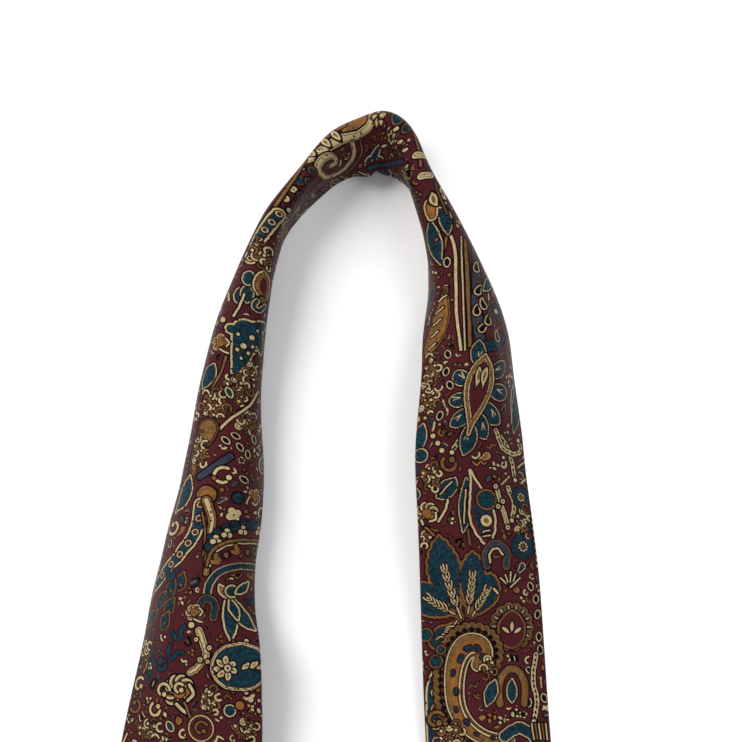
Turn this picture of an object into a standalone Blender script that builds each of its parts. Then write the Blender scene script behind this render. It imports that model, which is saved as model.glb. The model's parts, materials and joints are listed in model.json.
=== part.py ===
"""A gentleman's necktie, laid face up with its neck standing in an arch.

World frame, metres: +Z up, the table is z = 0, the origin is on the table at the
middle of the laid-out tie, and both blades run from the neck arch towards -Y.

The tie is one long strip. A point of it has three strip coordinates:
    along  distance along the strip, 0 at the top of the neck arch, negative
           towards the front (wide) blade and positive towards the tail
    x      distance across the strip, 0 on the centre line, positive outwards
    off    distance from the middle layer, positive towards the face
strip() turns these into world coordinates, so that the silk, the interlining,
the tipping and the stitches all follow the same draped form.
"""
import math

import bpy
import numpy as np

for old_object in list(bpy.data.objects):
    bpy.data.objects.remove(old_object, do_unlink=True)

MM = 0.001
ORIGIN = (0, 0, 0)

# ---------------------------------------------------------------- dimensions
SILK_THICK = 0.40 * MM    # a silk layer with its fluff
WOOL_THICK = 0.50 * MM    # the interlining
LAYER_GAP = 0.75 * MM     # keeps the layers clear of each other in the tight bends
LAYER = WOOL_THICK / 2 + LAYER_GAP + SILK_THICK / 2     # middle layer to middle of the silk
HALF_THICK = LAYER + SILK_THICK / 2                     # half the thickness of the tie

CROWN = 1.70 * MM         # how far the middle of a blade stands up from its edges
CROWN_REACH_MIN = 14 * MM  # the crown's curve takes at least this half width
DRAPE_FADE = 60 * MM      # over this length the neck's section flattens to the blade's
SEAM_GAP = 1.30 * MM      # between two silk panels at a diagonal seam
CENTRE_GAP = 0.75 * MM    # half the gap between the two flaps on the back
HINGE_GAP = 0.50 * MM     # half the gap between two blade segments
HINGE_UP = 0.40 * MM      # how far a fold axis lies above the face
ARCH_CUT = 1.10 * MM      # half the gap at the top of the arch, where the neck opens
ARCH_WEDGE = math.tan(math.radians(8.6))    # opened inwards so that the legs can close
ARCH_AXIS_OUT = HALF_THICK + 2.6 * MM       # the neck opens about a line outside its ridge

FRONT_LEAN = math.radians(6.0)          # of the front blade, to -X
TAIL_LEAN = math.radians(3.5)           # of the tail, to +X

FRONT_FIXED_LENGTH = 70.0 * MM          # straight front blade that stays with the neck
FRONT_UPPER_LENGTH = 285.0 * MM
FRONT_LOWER_LENGTH = 130.0 * MM
FRONT_TIP_LENGTH = 60.0 * MM
TAIL_FIXED_LENGTH = 60.0 * MM
TAIL_UPPER_LENGTH = 260.0 * MM
TAIL_TIP_LENGTH = 85.0 * MM

FRONT_WIDTH = 92.0 * MM   # the front blade at its shoulders
FRONT_FLARE = 0.14        # share of the front's widening that grows with the square
TAIL_WIDTH = 44.0 * MM    # what the tail widens to, before its point is cut
POINT_WIDTH = 8.0 * MM    # width left at the very point
HEM = 15.0 * MM           # turned hem along the point's edges
HEM_ACROSS = 1.25 * HEM   # the hem measured across the strip
FLAP_CURVE = 1.3          # power by which the flaps part towards a point
FRONT_OPEN_LENGTH = 118.0 * MM          # the flaps part this far above the front point
TAIL_OPEN_LENGTH = 62.0 * MM
WOOL_INSET = 3.4 * MM     # interlining's edge from the fold of the silk
WOOL_SHORT = 5 * MM       # interlining's end from the point

# The draped neck, from the front blade over the arch to the tail. Columns: centre line
# x, y (mm), slope of the inner and of the outer half (degrees), half length of the
# rounded ridge between them (mm), width (mm), and the heading of the strip in plan
# (degrees from +X), which lags the line in tight bends.
NECK_STATIONS = (
    (-62.0, -232.0, 9, 10, 21.0, 46.4, 84.0),
    (-59.2, -196.0, 8, 30, 19.0, 45.0, 86.0),
    (-58.7, -171.5, 19, 58, 20.0, 43.5, 87.0),
    (-58.5, -153.5, 56, 82, 20.0, 42.5, 86.0),
    (-55.8, -135.0, 76, 94, 20.0, 41.5, 82.0),
    (-52.5, -116.5, 80, 95, 18.0, 40.5, 80.0),
    (-48.6, -83.5, 96, 99, 14.0, 39.2, 73.0),
    (-43.9, -59.5, 98, 98, 10.0, 38.5, 68.0),
    (-38.5, -40.0, 92, 92, 5.0, 38.2, 64.0),
    (-35.5, -31.8, 90, 91, 3.6, 38.0, 64.0),
    (-30.0, -23.6, 89, 91, 3.2, 38.0, 64.0),
    (-22.9, -13.9, 82, 92, 3.2, 38.0, 57.0),
    (-15.7, -5.1, 66, 96, 3.2, 38.0, 38.0),
    (-7.3, -0.4, 48, 95, 3.2, 38.0, 11.0),
    (-0.3, 1.5, 44, 94, 3.2, 38.0, -11.0),
    (4.8, -2.0, 55, 88, 3.2, 38.0, -31.0),
    (8.4, -9.6, 83, 83, 3.6, 38.0, -52.0),
    (11.3, -17.7, 97, 87, 4.5, 38.0, -58.0),
    (15.4, -27.2, 99, 95, 6.5, 38.0, -60.0),
    (23.2, -47.2, 87, 98, 12.0, 38.0, -67.0),
    (28.9, -74.0, 50, 90, 19.0, 38.0, -79.0),
    (28.0, -106.0, 19, 53, 19.0, 38.0, -87.0),
    (28.8, -128.0, 9, 37, 19.0, 38.0, -87.0),
    (30.0, -164.0, 8, 17, 19.0, 38.0, -86.0),
    (31.2, -195.0, 9, 12, 19.0, 38.2, -86.0),
    (33.4, -232.0, 10, 10, 18.0, 38.6, -86.5),
)
TOP_STATION = 14          # index of the station at the top of the arch
MIDDLE = (-40.475 * MM, -385.060 * MM)      # middle of the laid-out tie, in the table's x, y


# ------------------------------------------------------------ interpolation
def hermite(knots, values, slopes, where):
    """Piecewise cubic through values at knots with the given slopes."""
    i = np.clip(np.searchsorted(knots, where, side="right") - 1, 0, len(knots) - 2)
    step = np.diff(knots)[i]
    u = (where - knots[i]) / step
    return ((2 * u**3 - 3 * u**2 + 1) * values[i] + (u**3 - 2 * u**2 + u) * step * slopes[i]
            + (3 * u**2 - 2 * u**3) * values[i + 1] + (u**3 - u**2) * step * slopes[i + 1])


def clamped_spline(knots, values, first_slope, last_slope):
    """Smooth cubic spline with the two end slopes given."""
    count = len(knots)
    step = np.diff(knots)
    rise = np.diff(values) / step
    matrix = np.eye(count)
    right = np.zeros(count)
    for i in range(1, count - 1):
        matrix[i, i - 1:i + 2] = step[i], 2 * (step[i - 1] + step[i]), step[i - 1]
        right[i] = 3 * (step[i] * rise[i - 1] + step[i - 1] * rise[i])
    right[0], right[-1] = first_slope, last_slope
    slopes = np.linalg.solve(matrix, right)
    return lambda where: hermite(knots, values, slopes, np.asarray(where, float))


def monotone(knots, values):
    """Piecewise cubic that never overshoots the values, constant beyond the ends."""
    step = np.diff(knots)
    rise = np.diff(values) / step
    slopes = np.zeros(len(knots))
    for i in range(1, len(knots) - 1):
        if rise[i - 1] * rise[i] > 0:
            before = 2 * step[i] + step[i - 1]
            after = step[i] + 2 * step[i - 1]
            slopes[i] = (before + after) / (before / rise[i - 1] + after / rise[i])
    return lambda where: hermite(knots, values, slopes, np.clip(where, knots[0], knots[-1]))


# ---------------------------------------------------------- the draped form
STATIONS = np.array(NECK_STATIONS, float)
STATIONS[:, [0, 1, 4, 5]] *= MM
STATIONS[:, [2, 3, 6]] = np.radians(STATIONS[:, [2, 3, 6]])
# plan directions of the straight blades, away from the neck
FRONT_AWAY = np.array([-math.sin(FRONT_LEAN), -math.cos(FRONT_LEAN)])
TAIL_AWAY = np.array([math.sin(TAIL_LEAN), -math.cos(TAIL_LEAN)])


def plan_line(knots):
    """The x and y splines of the neck's centre line."""
    return [clamped_spline(knots, STATIONS[:, i], -FRONT_AWAY[i], TAIL_AWAY[i]) for i in (0, 1)]


def run_lengths(points):
    """Distance of each point from the first, along the polyline."""
    return np.concatenate([[0], np.cumsum(np.linalg.norm(np.diff(points, axis=0), axis=1))])


def arc_length_knots():
    """Distance of each station along the smooth line, from the top of the arch."""
    knots = run_lengths(STATIONS[:, :2])
    for _ in range(3):
        fine = np.concatenate([np.linspace(knots[i], knots[i + 1], 40, endpoint=False)
                               for i in range(len(knots) - 1)] + [knots[-1:]])
        points = np.stack([spline(fine) for spline in plan_line(knots)], 1)
        knots = np.interp(knots, fine, run_lengths(points))
    return knots - knots[TOP_STATION]


NECK_KNOTS = arc_length_knots()
line_x, line_y = plan_line(NECK_KNOTS)
inner_slope, outer_slope, ridge_half, neck_width, heading = [
    monotone(NECK_KNOTS, STATIONS[:, i]) for i in (2, 3, 4, 5, 6)]

# places along the strip
FRONT_START = float(NECK_KNOTS[0])
FRONT_FOLD = FRONT_START - FRONT_FIXED_LENGTH
FRONT_LOWER_FOLD = FRONT_FOLD - FRONT_UPPER_LENGTH
FRONT_TIP_FOLD = FRONT_LOWER_FOLD - FRONT_LOWER_LENGTH
FRONT_END = FRONT_TIP_FOLD - FRONT_TIP_LENGTH
FRONT_OPEN = FRONT_END + FRONT_OPEN_LENGTH
TAIL_START = float(NECK_KNOTS[-1])
TAIL_FOLD = TAIL_START + TAIL_FIXED_LENGTH
TAIL_TIP_FOLD = TAIL_FOLD + TAIL_UPPER_LENGTH
TAIL_END = TAIL_TIP_FOLD + TAIL_TIP_LENGTH
TAIL_OPEN = TAIL_END - TAIL_OPEN_LENGTH


def width(along):
    """Full width of the tie; the points' edges run at 45 degrees."""
    share = np.clip((FRONT_START - along) / (FRONT_START - FRONT_TIP_FOLD), 0, 1)
    widening = (1 - FRONT_FLARE) * share + FRONT_FLARE * share**2
    front = STATIONS[0, 5] + (FRONT_WIDTH - STATIONS[0, 5]) * widening
    share = np.clip((along - TAIL_START) / (TAIL_END - TAIL_START), 0, 1)
    tail = STATIONS[-1, 5] + (TAIL_WIDTH - STATIONS[-1, 5]) * share
    full = np.where(along < FRONT_START, front,
                    np.where(along > TAIL_START, tail, neck_width(along)))
    full = np.minimum(full, POINT_WIDTH + 2 * np.maximum(along - FRONT_END, 0))
    return np.minimum(full, POINT_WIDTH + 2 * np.maximum(TAIL_END - along, 0))


def reach(along):
    """Distance across from the centre line to where the silk starts to turn."""
    return width(along) / 2 - HALF_THICK


def shape(along):
    """Slopes of the inner and outer half and the ridge's half length."""
    crown_reach = np.maximum(reach(along), CROWN_REACH_MIN)
    crown_slope = 2 * CROWN / crown_reach
    fade = np.clip(np.maximum(FRONT_START - along, along - TAIL_START) / DRAPE_FADE, 0, 1)
    fade = fade * fade * (3 - 2 * fade)
    inner, outer, ridge = inner_slope(along), outer_slope(along), ridge_half(along)
    return (inner + (crown_slope - inner) * fade,
            outer + (crown_slope - outer) * fade,
            ridge + (crown_reach - ridge) * fade)


def path(along):
    """Centre line x, y and the strip's unit heading x, y, in the sense of growing along."""
    on_neck = np.clip(along, FRONT_START, TAIL_START)
    angle = heading(on_neck)
    before = np.minimum(along - FRONT_START, 0)
    after = np.maximum(along - TAIL_START, 0)
    line = [spline(on_neck) - before * FRONT_AWAY[i] + after * TAIL_AWAY[i] - MIDDLE[i]
            for i, spline in enumerate((line_x, line_y))]
    return line[0], line[1], np.cos(angle), np.sin(angle)


def section(inner, outer, ridge, x):
    """Sideways run and height of the middle layer at x, from the centre line."""
    bend = (inner + outer) / (2 * ridge)

    def from_ridge_start(x):
        slope = inner - bend * (np.clip(x, -ridge, ridge) + ridge)
        inside, outside = np.minimum(x + ridge, 0), np.maximum(x - ridge, 0)
        side = (np.sin(inner) - np.sin(slope)) / bend
        height = (np.cos(slope) - np.cos(inner)) / bend
        return (side + inside * np.cos(inner) + outside * np.cos(outer),
                height + inside * np.sin(inner) - outside * np.sin(outer))

    side, height = from_ridge_start(x)
    centre_side, centre_height = from_ridge_start(np.zeros_like(x))
    return side - centre_side, height - centre_height


def middle(along, x):
    """World points of the middle layer, its lower edge resting above the table."""
    line_at_x, line_at_y, head_x, head_y = path(along)
    form = shape(along)
    edge = reach(along)
    on_blade = (along < FRONT_START) | (along > TAIL_START)
    edge = np.where(on_blade, np.maximum(edge, CROWN_REACH_MIN), edge)
    low = np.minimum(section(*form, -edge)[1], section(*form, edge)[1])
    side, height = section(*form, x)
    return np.stack([line_at_x - head_y * side, line_at_y + head_x * side,
                     HALF_THICK - low + height], -1)


def strip(along, x, off):
    """World points of strip coordinates."""
    along, x, off = np.broadcast_arrays(np.asarray(along, float), x, off)
    probe = 0.2 * MM
    normal = np.cross(middle(along + probe, x) - middle(along - probe, x),
                      middle(along, x + probe) - middle(along, x - probe))
    normal /= np.linalg.norm(normal, axis=-1, keepdims=True)
    return middle(along, x) + normal * off[..., None]


# ---------------------------------------------------------------- materials
def material(name, colour, roughness):
    made = bpy.data.materials.new(name)
    made.use_nodes = True
    inputs = made.node_tree.nodes["Principled BSDF"].inputs
    inputs["Base Color"].default_value = (*colour, 1)
    inputs["Roughness"].default_value = roughness
    return made


SILK = material("printed_silk", colour=(0.20, 0.035, 0.04), roughness=0.45)
WOOL = material("wool_interlining", colour=(0.82, 0.79, 0.70), roughness=0.95)
LINING = material("tipping_lining", colour=(0.05, 0.04, 0.045), roughness=0.35)
THREAD = material("sewing_thread", colour=(0.16, 0.03, 0.035), roughness=0.6)
LABEL = material("label_ribbon", colour=(0.06, 0.055, 0.06), roughness=0.5)
TAG = material("care_tag_tape", colour=(0.85, 0.84, 0.80), roughness=0.6)


# ------------------------------------------------------------ mesh building
COLLECTION = bpy.data.collections.new("necktie")
bpy.context.scene.collection.children.link(COLLECTION)


def add_object(name, data, surface, pivot):
    made = bpy.data.objects.new(name, data)
    COLLECTION.objects.link(made)
    data.materials.append(surface)
    made.location = pivot
    return made


def sheet(name, grid, thick, surface, pivot=ORIGIN):
    """An open lofted sheet through rows of points, given its thickness by Solidify."""
    rows, cols = grid.shape[:2]
    verts = (grid.reshape(-1, 3) - np.array(pivot)).tolist()
    faces = [(i * cols + j, i * cols + j + 1, (i + 1) * cols + j + 1, (i + 1) * cols + j)
             for i in range(rows - 1) for j in range(cols - 1)]
    mesh = bpy.data.meshes.new(name)
    mesh.from_pydata(verts, [], faces)
    mesh.validate()
    mesh.shade_smooth()
    solidify = add_object(name, mesh, surface, pivot).modifiers.new("thickness", "SOLIDIFY")
    solidify.thickness = thick
    solidify.offset = 0.0
    solidify.use_rim = True
    solidify.use_even_offset = False


def thread(name, points, radius, pivot=ORIGIN):
    """A length of thread through world points."""
    curve = bpy.data.curves.new(name, "CURVE")
    curve.dimensions = "3D"
    curve.bevel_depth = radius
    curve.bevel_resolution = 0
    curve.use_fill_caps = True
    spline = curve.splines.new("POLY")
    spline.points.add(len(points) - 1)
    for point, place in zip(spline.points, points - np.array(pivot)):
        point.co = (*place, 1)
    add_object(name, curve, THREAD, pivot)


# -------------------------------------------------------------- folded silk
# A fold fraction runs round the silk: 0 the centre of the face, +-1 the middle of the
# folded edges, +-2 the ends of the flaps on the back.
TURN = 0.12               # share of the fraction used by half a turned edge
FLAT = 1 - TURN           # share used by half the face, or by a flap
TURN_ALLOWANCE = 1.2 * MM  # silk added to the reach for measuring over the turned edge
COLUMNS = (0.08, 0.20, 0.39, 0.60, 0.81)    # shares of the half width, for all layers
BACK_SPAN = 0.96          # divides the columns' shares on the flaps

HALF_FRACTIONS = ([FLAT * share for share in COLUMNS] + [FLAT, 1.0, 1 + TURN]
                  + [1 + TURN + FLAT * (1 - share) / BACK_SPAN for share in COLUMNS[:0:-1]]
                  + [2.0])
SILK_FRACTIONS = np.array([[-f for f in reversed(HALF_FRACTIONS)] + HALF_FRACTIONS])
WOOL_FRACTIONS = np.array([[-1.0] + [-f for f in reversed(COLUMNS)] + list(COLUMNS) + [1.0]])


def flap_length(along):
    """How far the turned flaps reach in from the edges."""
    full = reach(along) - CENTRE_GAP
    closed = np.minimum(np.clip((along - FRONT_END) / FRONT_OPEN_LENGTH, 0, 1),
                        np.clip((TAIL_END - along) / TAIL_OPEN_LENGTH, 0, 1))
    hem = np.minimum(HEM_ACROSS, full)
    return hem + (full - hem) * closed**FLAP_CURVE


def fold(along, fraction):
    """x, outward bulge and off of the folded silk at the signed fold fraction."""
    size = np.abs(fraction)
    angle = np.clip((size - FLAT) / (2 * TURN), 0, 1) * math.pi
    x = (reach(along) * np.minimum(size / FLAT, 1)
         - flap_length(along) * np.maximum(size - 1 - TURN, 0) / FLAT)
    return np.sign(fraction) * x, LAYER * np.sin(angle), LAYER * np.cos(angle)


def silk_points(along, fraction):
    """World points of the folded silk, bulging outwards at the turned edges."""
    x, bulge, off = fold(along, fraction)
    points = strip(along, x, off)
    outward = strip(along, x + np.sign(fraction) * 0.01 * MM, off) - points
    outward /= np.linalg.norm(outward, axis=-1, keepdims=True)
    return points + outward * bulge[..., None]


def unfolded(along, fraction):
    """Distance over the silk from the centre of the face, for the diagonal seams."""
    return fraction * (reach(along) + TURN_ALLOWANCE)


def wedge_cut(along, x, wedge):
    """How far a wedge cuts back the start of a piece on its inner side."""
    return wedge * np.maximum(0, -section(*shape(along), x)[0])


# A rings function gives the rows of stations between a piece's start and its end,
# for each column.
def even_rings(count):
    shares = np.linspace(0, 1, count)[:, None]
    return lambda start, end: start + (end - start) * shares


def neck_rings(side, runs):
    """Fixed stations along one half of the neck (side -1 front, +1 tail), closer where
    it bends, followed by even runs to the end."""
    far = (212.0, 224.0) if side < 0 else (208.0,)
    fixed = side * MM * np.concatenate([
        np.arange(0, 30, 4.2), np.arange(31, 52, 6), np.arange(58, 100, 10),
        np.arange(104, 205, 15), far])[:, None]
    # rings that fall before the start are set this far apart instead of coinciding
    nudge = side * 0.01 * MM * np.arange(len(fixed))[:, None]
    shares = np.linspace(0, 1, runs + 1)[1:, None]

    def rings(start, end):
        rows = np.where((fixed - start) * side < 0, start, fixed)
        rows = rows + nudge * (rows == start)
        rows = np.concatenate([start, rows[1:]], 0)
        return np.concatenate([rows, rows[-1:] + (end - rows[-1:]) * shares], 0)

    return rings


def silk_panel(name, start, end, rings, pivot=ORIGIN, slant_start=0.0, slant_end=0.0,
               wedge=0.0):
    """A panel of silk folded round the interlining between two stations.
    slant_start and slant_end slant that end by so much of the unfolded width."""
    fraction = SILK_FRACTIONS
    first = (start + slant_start * unfolded(start, fraction)
             + wedge_cut(start, fold(start, fraction)[0], wedge))
    last = end + slant_end * unfolded(end, fraction)
    along = rings(first, last)
    fraction = np.broadcast_to(fraction, along.shape)
    sheet(name, silk_points(along, fraction), SILK_THICK, SILK, pivot)


def interlining(name, start, end, rings, pivot=ORIGIN, wedge=0.0):
    """The wool layer in the middle of the tie."""
    fraction = WOOL_FRACTIONS
    size = np.abs(fraction)
    along = rings(start + wedge_cut(start, fraction * reach(start), wedge), end)
    edge = reach(along) - WOOL_INSET
    # columns past the wool's edge are gathered just inside it
    x = np.sign(fraction) * np.minimum(size * reach(along), edge * (0.9 + 0.1 * size))
    sheet(name, strip(along, x, 0.0), WOOL_THICK, WOOL, pivot)


# ------------------------------------------------------------------- pivots
def fold_pivot(along):
    """Point on the fold line across the face."""
    return tuple(float(v) for v in strip(along, 0.0, HALF_THICK + HINGE_UP))


def arch_pivot():
    """Point on the table under the outer side of the arch's top."""
    top_x, top_y, head_x, head_y = (float(v) for v in path(0.0))
    return (top_x - head_y * ARCH_AXIS_OUT, top_y + head_x * ARCH_AXIS_OUT, 0.0)


NECK_PIVOT = arch_pivot()
FRONT_PIVOT = fold_pivot(FRONT_FOLD)
LOWER_PIVOT = fold_pivot(FRONT_LOWER_FOLD)
TIP_PIVOT = fold_pivot(FRONT_TIP_FOLD)
TAIL_PIVOT = fold_pivot(TAIL_FOLD)
TAIL_TIP_PIVOT = fold_pivot(TAIL_TIP_FOLD)

# --------------------------------------------------------------------- neck
FRONT_SEAM = FRONT_START - 16 * MM      # diagonal seams between the gusset and the panels
TAIL_SEAM = TAIL_START + 8 * MM
SEAM_SLANT = 0.8

# front half
silk_panel("neck_gusset_front_half", -ARCH_CUT, FRONT_SEAM + SEAM_GAP / 2,
           neck_rings(-1, runs=5), slant_end=SEAM_SLANT)
silk_panel("front_panel_top", FRONT_SEAM - SEAM_GAP / 2, FRONT_FOLD + HINGE_GAP,
           even_rings(6), slant_start=SEAM_SLANT)
interlining("neck_interlining_front_half", -ARCH_CUT, FRONT_FOLD + HINGE_GAP,
            neck_rings(-1, runs=8))

# tail half
silk_panel("neck_gusset_tail_half", ARCH_CUT, TAIL_SEAM - SEAM_GAP / 2,
           neck_rings(1, runs=5), NECK_PIVOT, slant_end=SEAM_SLANT, wedge=ARCH_WEDGE)
silk_panel("tail_panel_top", TAIL_SEAM + SEAM_GAP / 2, TAIL_FOLD - HINGE_GAP,
           even_rings(6), NECK_PIVOT, slant_start=SEAM_SLANT)
interlining("neck_interlining_tail_half", ARCH_CUT, TAIL_FOLD - HINGE_GAP,
            neck_rings(1, runs=8), NECK_PIVOT, wedge=ARCH_WEDGE)


def seam_thread(name, seam, pivot=ORIGIN):
    """The thread lying in the diagonal seam across the face."""
    fraction = np.linspace(-0.8, 0.8, 13)
    along = seam + SEAM_SLANT * unfolded(seam, fraction)
    x, _, off = fold(along, fraction)
    thread(name, strip(along, x, off), 0.11 * MM, pivot)


seam_thread("neck_seam_thread_front", FRONT_SEAM)
seam_thread("neck_seam_thread_tail", TAIL_SEAM, NECK_PIVOT)


# ------------------------------------------------------------------- blades
def blade(side, part, start, end, silk_rings, wool_rings, pivot, wool_short=0.0):
    """One segment of a blade: the folded silk and its interlining."""
    wool_end = end + math.copysign(wool_short, start - end)
    silk_panel(f"{side}_blade_{part}", start, end, even_rings(silk_rings), pivot)
    interlining(f"interlining_{side}_{part}", start, wool_end, even_rings(wool_rings), pivot)


blade("front", "upper", FRONT_FOLD - HINGE_GAP, FRONT_LOWER_FOLD + HINGE_GAP,
      silk_rings=3, wool_rings=3, pivot=FRONT_PIVOT)
blade("front", "lower", FRONT_LOWER_FOLD - HINGE_GAP, FRONT_TIP_FOLD + HINGE_GAP,
      silk_rings=6, wool_rings=4, pivot=LOWER_PIVOT)
blade("front", "tip", FRONT_TIP_FOLD - HINGE_GAP, FRONT_END,
      silk_rings=7, wool_rings=7, pivot=TIP_PIVOT, wool_short=WOOL_SHORT)
blade("tail", "upper", TAIL_FOLD + HINGE_GAP, TAIL_TIP_FOLD - HINGE_GAP,
      silk_rings=3, wool_rings=3, pivot=TAIL_PIVOT)
blade("tail", "tip", TAIL_TIP_FOLD + HINGE_GAP, TAIL_END,
      silk_rings=9, wool_rings=8, pivot=TAIL_TIP_PIVOT, wool_short=WOOL_SHORT)


def tipping(name, start, end, rings, pivot):
    """The lining seen in the opening on the back of a point, between the hems."""
    fraction = np.linspace(-1, 1, 7)[None, :]
    along = even_rings(rings)(start, end) + 0 * fraction
    edge = np.maximum(reach(along) - flap_length(along) - 1.8 * MM, 0.3 * MM)
    sheet(name, strip(along, fraction * edge, -LAYER), 0.3 * MM, LINING, pivot)


tipping("front_tipping_upper", FRONT_OPEN - 6 * MM, FRONT_TIP_FOLD + HINGE_GAP, 7, LOWER_PIVOT)
tipping("front_tipping_point", FRONT_TIP_FOLD - HINGE_GAP, FRONT_END + 22 * MM, 5, TIP_PIVOT)
tipping("tail_tipping", TAIL_OPEN + 6 * MM, TAIL_END - 20 * MM, 6, TAIL_TIP_PIVOT)

# ----------------------------------------------------- stitches on the back
NECK_PITCH = 18 * MM      # spacing of the slip stitch's points
BLADE_PITCH = 90 * MM
STITCH_INSET = 2 * MM     # the slip stitch stops this far from a fold
OPEN_INSET = 7 * MM       # and this far from an opening


def slip_stitch(part, start, end, pitch, pivot):
    """The stitch that closes the back, running in the gap between the flaps."""
    count = max(2, int(abs(end - start) / pitch))
    along = np.linspace(start, end, count)
    thread(f"slip_stitch_{part}", strip(along, 0.0, -LAYER), 0.18 * MM, pivot)


slip_stitch("neck_front", -64 * MM, FRONT_FOLD + STITCH_INSET, NECK_PITCH, ORIGIN)
slip_stitch("neck_tail", 88 * MM, TAIL_FOLD - STITCH_INSET, NECK_PITCH, NECK_PIVOT)
slip_stitch("front_upper", FRONT_FOLD - STITCH_INSET, FRONT_LOWER_FOLD + STITCH_INSET,
            BLADE_PITCH, FRONT_PIVOT)
slip_stitch("front_lower", FRONT_LOWER_FOLD - STITCH_INSET, FRONT_OPEN + OPEN_INSET,
            BLADE_PITCH, LOWER_PIVOT)
slip_stitch("tail_upper", TAIL_FOLD + STITCH_INSET, TAIL_TIP_FOLD - STITCH_INSET,
            BLADE_PITCH, TAIL_PIVOT)
slip_stitch("tail_tip", TAIL_TIP_FOLD + STITCH_INSET, TAIL_OPEN - OPEN_INSET,
            BLADE_PITCH, TAIL_TIP_PIVOT)


def bar_tack(name, along, pivot):
    """A bar of thread across the top of the opening, outside the flaps."""
    x = np.linspace(-2.4 * MM, 2.4 * MM, 5)
    thread(name, strip(along, x, -(HALF_THICK + 0.36 * MM)), 0.20 * MM, pivot)


bar_tack("front_bar_tack", FRONT_OPEN + 4 * MM, LOWER_PIVOT)
bar_tack("tail_bar_tack", TAIL_OPEN - 4 * MM, TAIL_TIP_PIVOT)


def spare_thread_loop():
    """The spare end of the slip stitch, a small loop so that the seam can give."""
    angle = np.linspace(0.15 * math.pi, 1.85 * math.pi, 12)
    points = strip(FRONT_OPEN - 16 * MM + 7 * MM * np.cos(angle), 2.6 * MM * np.sin(angle), 0.0)
    points[:, 2] = 0.72 * MM
    thread("spare_thread_loop", points, 0.12 * MM, LOWER_PIVOT)


spare_thread_loop()

# ------------------- keeper loop, label and care tag, under the front blade
STRAP_HEIGHT = 0.62 * MM  # of the straps' middle above the table
TACK_HEIGHT = 0.18 * MM
KEEPER_AT = FRONT_LOWER_FOLD + 34 * MM
LABEL_AT = KEEPER_AT + 44 * MM
TAG_AT = LABEL_AT + 38 * MM


def strap_centre(along):
    """Point under the centre line at the height of the straps."""
    centre = strip(along, 0.0, 0.0)
    return (float(centre[0]), float(centre[1]), STRAP_HEIGHT)


def flat_strap(name, at, ends, half_span, columns, thick, surface, pivot):
    """A level rectangle; ends are its two ends along the strip, measured from at."""
    _, _, head_x, head_y = path(at)
    run = np.array([head_x, head_y, 0.0])
    side = np.array([-head_y, head_x, 0.0])
    lengthwise = np.linspace(*ends, 3)[:, None, None]
    sideways = np.linspace(-half_span, half_span, columns)[None, :, None]
    grid = np.array(strap_centre(at)) + run * lengthwise + side * sideways
    sheet(name, grid, thick, surface, pivot)


flat_strap("keeper_loop", KEEPER_AT, ends=(-7.5 * MM, 7.5 * MM), half_span=25 * MM,
           columns=5, thick=0.30 * MM, surface=SILK, pivot=FRONT_PIVOT)
flat_strap("blank_label", LABEL_AT, ends=(-21 * MM, 21 * MM), half_span=21 * MM,
           columns=5, thick=0.24 * MM, surface=LABEL, pivot=FRONT_PIVOT)
flat_strap("care_tag", TAG_AT, ends=(0.5 * MM, 26.5 * MM), half_span=8 * MM,
           columns=3, thick=0.22 * MM, surface=TAG, pivot=strap_centre(TAG_AT))


def end_tacks(name, at, x, half_length):
    """Two threads along the strip, at the inner and the outer end of a strap."""
    along = np.linspace(at - half_length, at + half_length, 6)
    for place, sign in (("inner", -1), ("outer", 1)):
        points = strip(along, sign * x, 0.0)
        points[:, 2] = TACK_HEIGHT
        thread(f"{name}_{place}", points, 0.13 * MM, FRONT_PIVOT)


end_tacks("keeper_tack", KEEPER_AT, x=22.5 * MM, half_length=5 * MM)
end_tacks("label_stitch", LABEL_AT, x=19 * MM, half_length=17 * MM)

bpy.context.view_layer.update()
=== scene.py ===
"""A gentleman's necktie of printed silk, laid face up in a loop.

The floor is z = 0 and z points up. The arch of the neck is at +y; from it the wide front
blade runs towards -y on the -x side and the narrow tail on the +x side. The tie is one
strip of folded silk. Its pieces are made in strip coordinates: s along the strip (0 at the
top of the arch, negative on the front side), x across it, and a height from its middle
layer. strip() lays them out in the draped form. The print is drawn as signed distances to
painted shapes, kept on the silk's mesh and turned into colour by shader nodes.
"""

import json
import math
from functools import partial

import bpy
import numpy as np
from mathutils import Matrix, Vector

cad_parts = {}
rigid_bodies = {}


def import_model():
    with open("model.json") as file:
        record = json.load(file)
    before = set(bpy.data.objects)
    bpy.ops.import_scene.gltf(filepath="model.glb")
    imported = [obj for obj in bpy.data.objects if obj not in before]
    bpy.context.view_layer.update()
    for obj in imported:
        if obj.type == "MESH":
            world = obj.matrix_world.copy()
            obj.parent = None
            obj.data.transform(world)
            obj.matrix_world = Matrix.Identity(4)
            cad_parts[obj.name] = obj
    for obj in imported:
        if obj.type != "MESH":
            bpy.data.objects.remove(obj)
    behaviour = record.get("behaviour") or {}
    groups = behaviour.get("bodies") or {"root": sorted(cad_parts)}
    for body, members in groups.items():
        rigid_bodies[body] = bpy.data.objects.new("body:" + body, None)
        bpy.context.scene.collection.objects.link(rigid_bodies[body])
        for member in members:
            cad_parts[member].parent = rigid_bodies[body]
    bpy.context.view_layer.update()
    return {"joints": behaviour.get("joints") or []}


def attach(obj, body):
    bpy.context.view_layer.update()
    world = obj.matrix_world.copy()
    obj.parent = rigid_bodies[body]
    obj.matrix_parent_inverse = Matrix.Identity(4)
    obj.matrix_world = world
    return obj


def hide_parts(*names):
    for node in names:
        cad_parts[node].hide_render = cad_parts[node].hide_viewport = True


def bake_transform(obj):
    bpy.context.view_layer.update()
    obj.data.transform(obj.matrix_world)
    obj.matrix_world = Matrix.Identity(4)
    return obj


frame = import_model()

MM = 0.001
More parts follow.
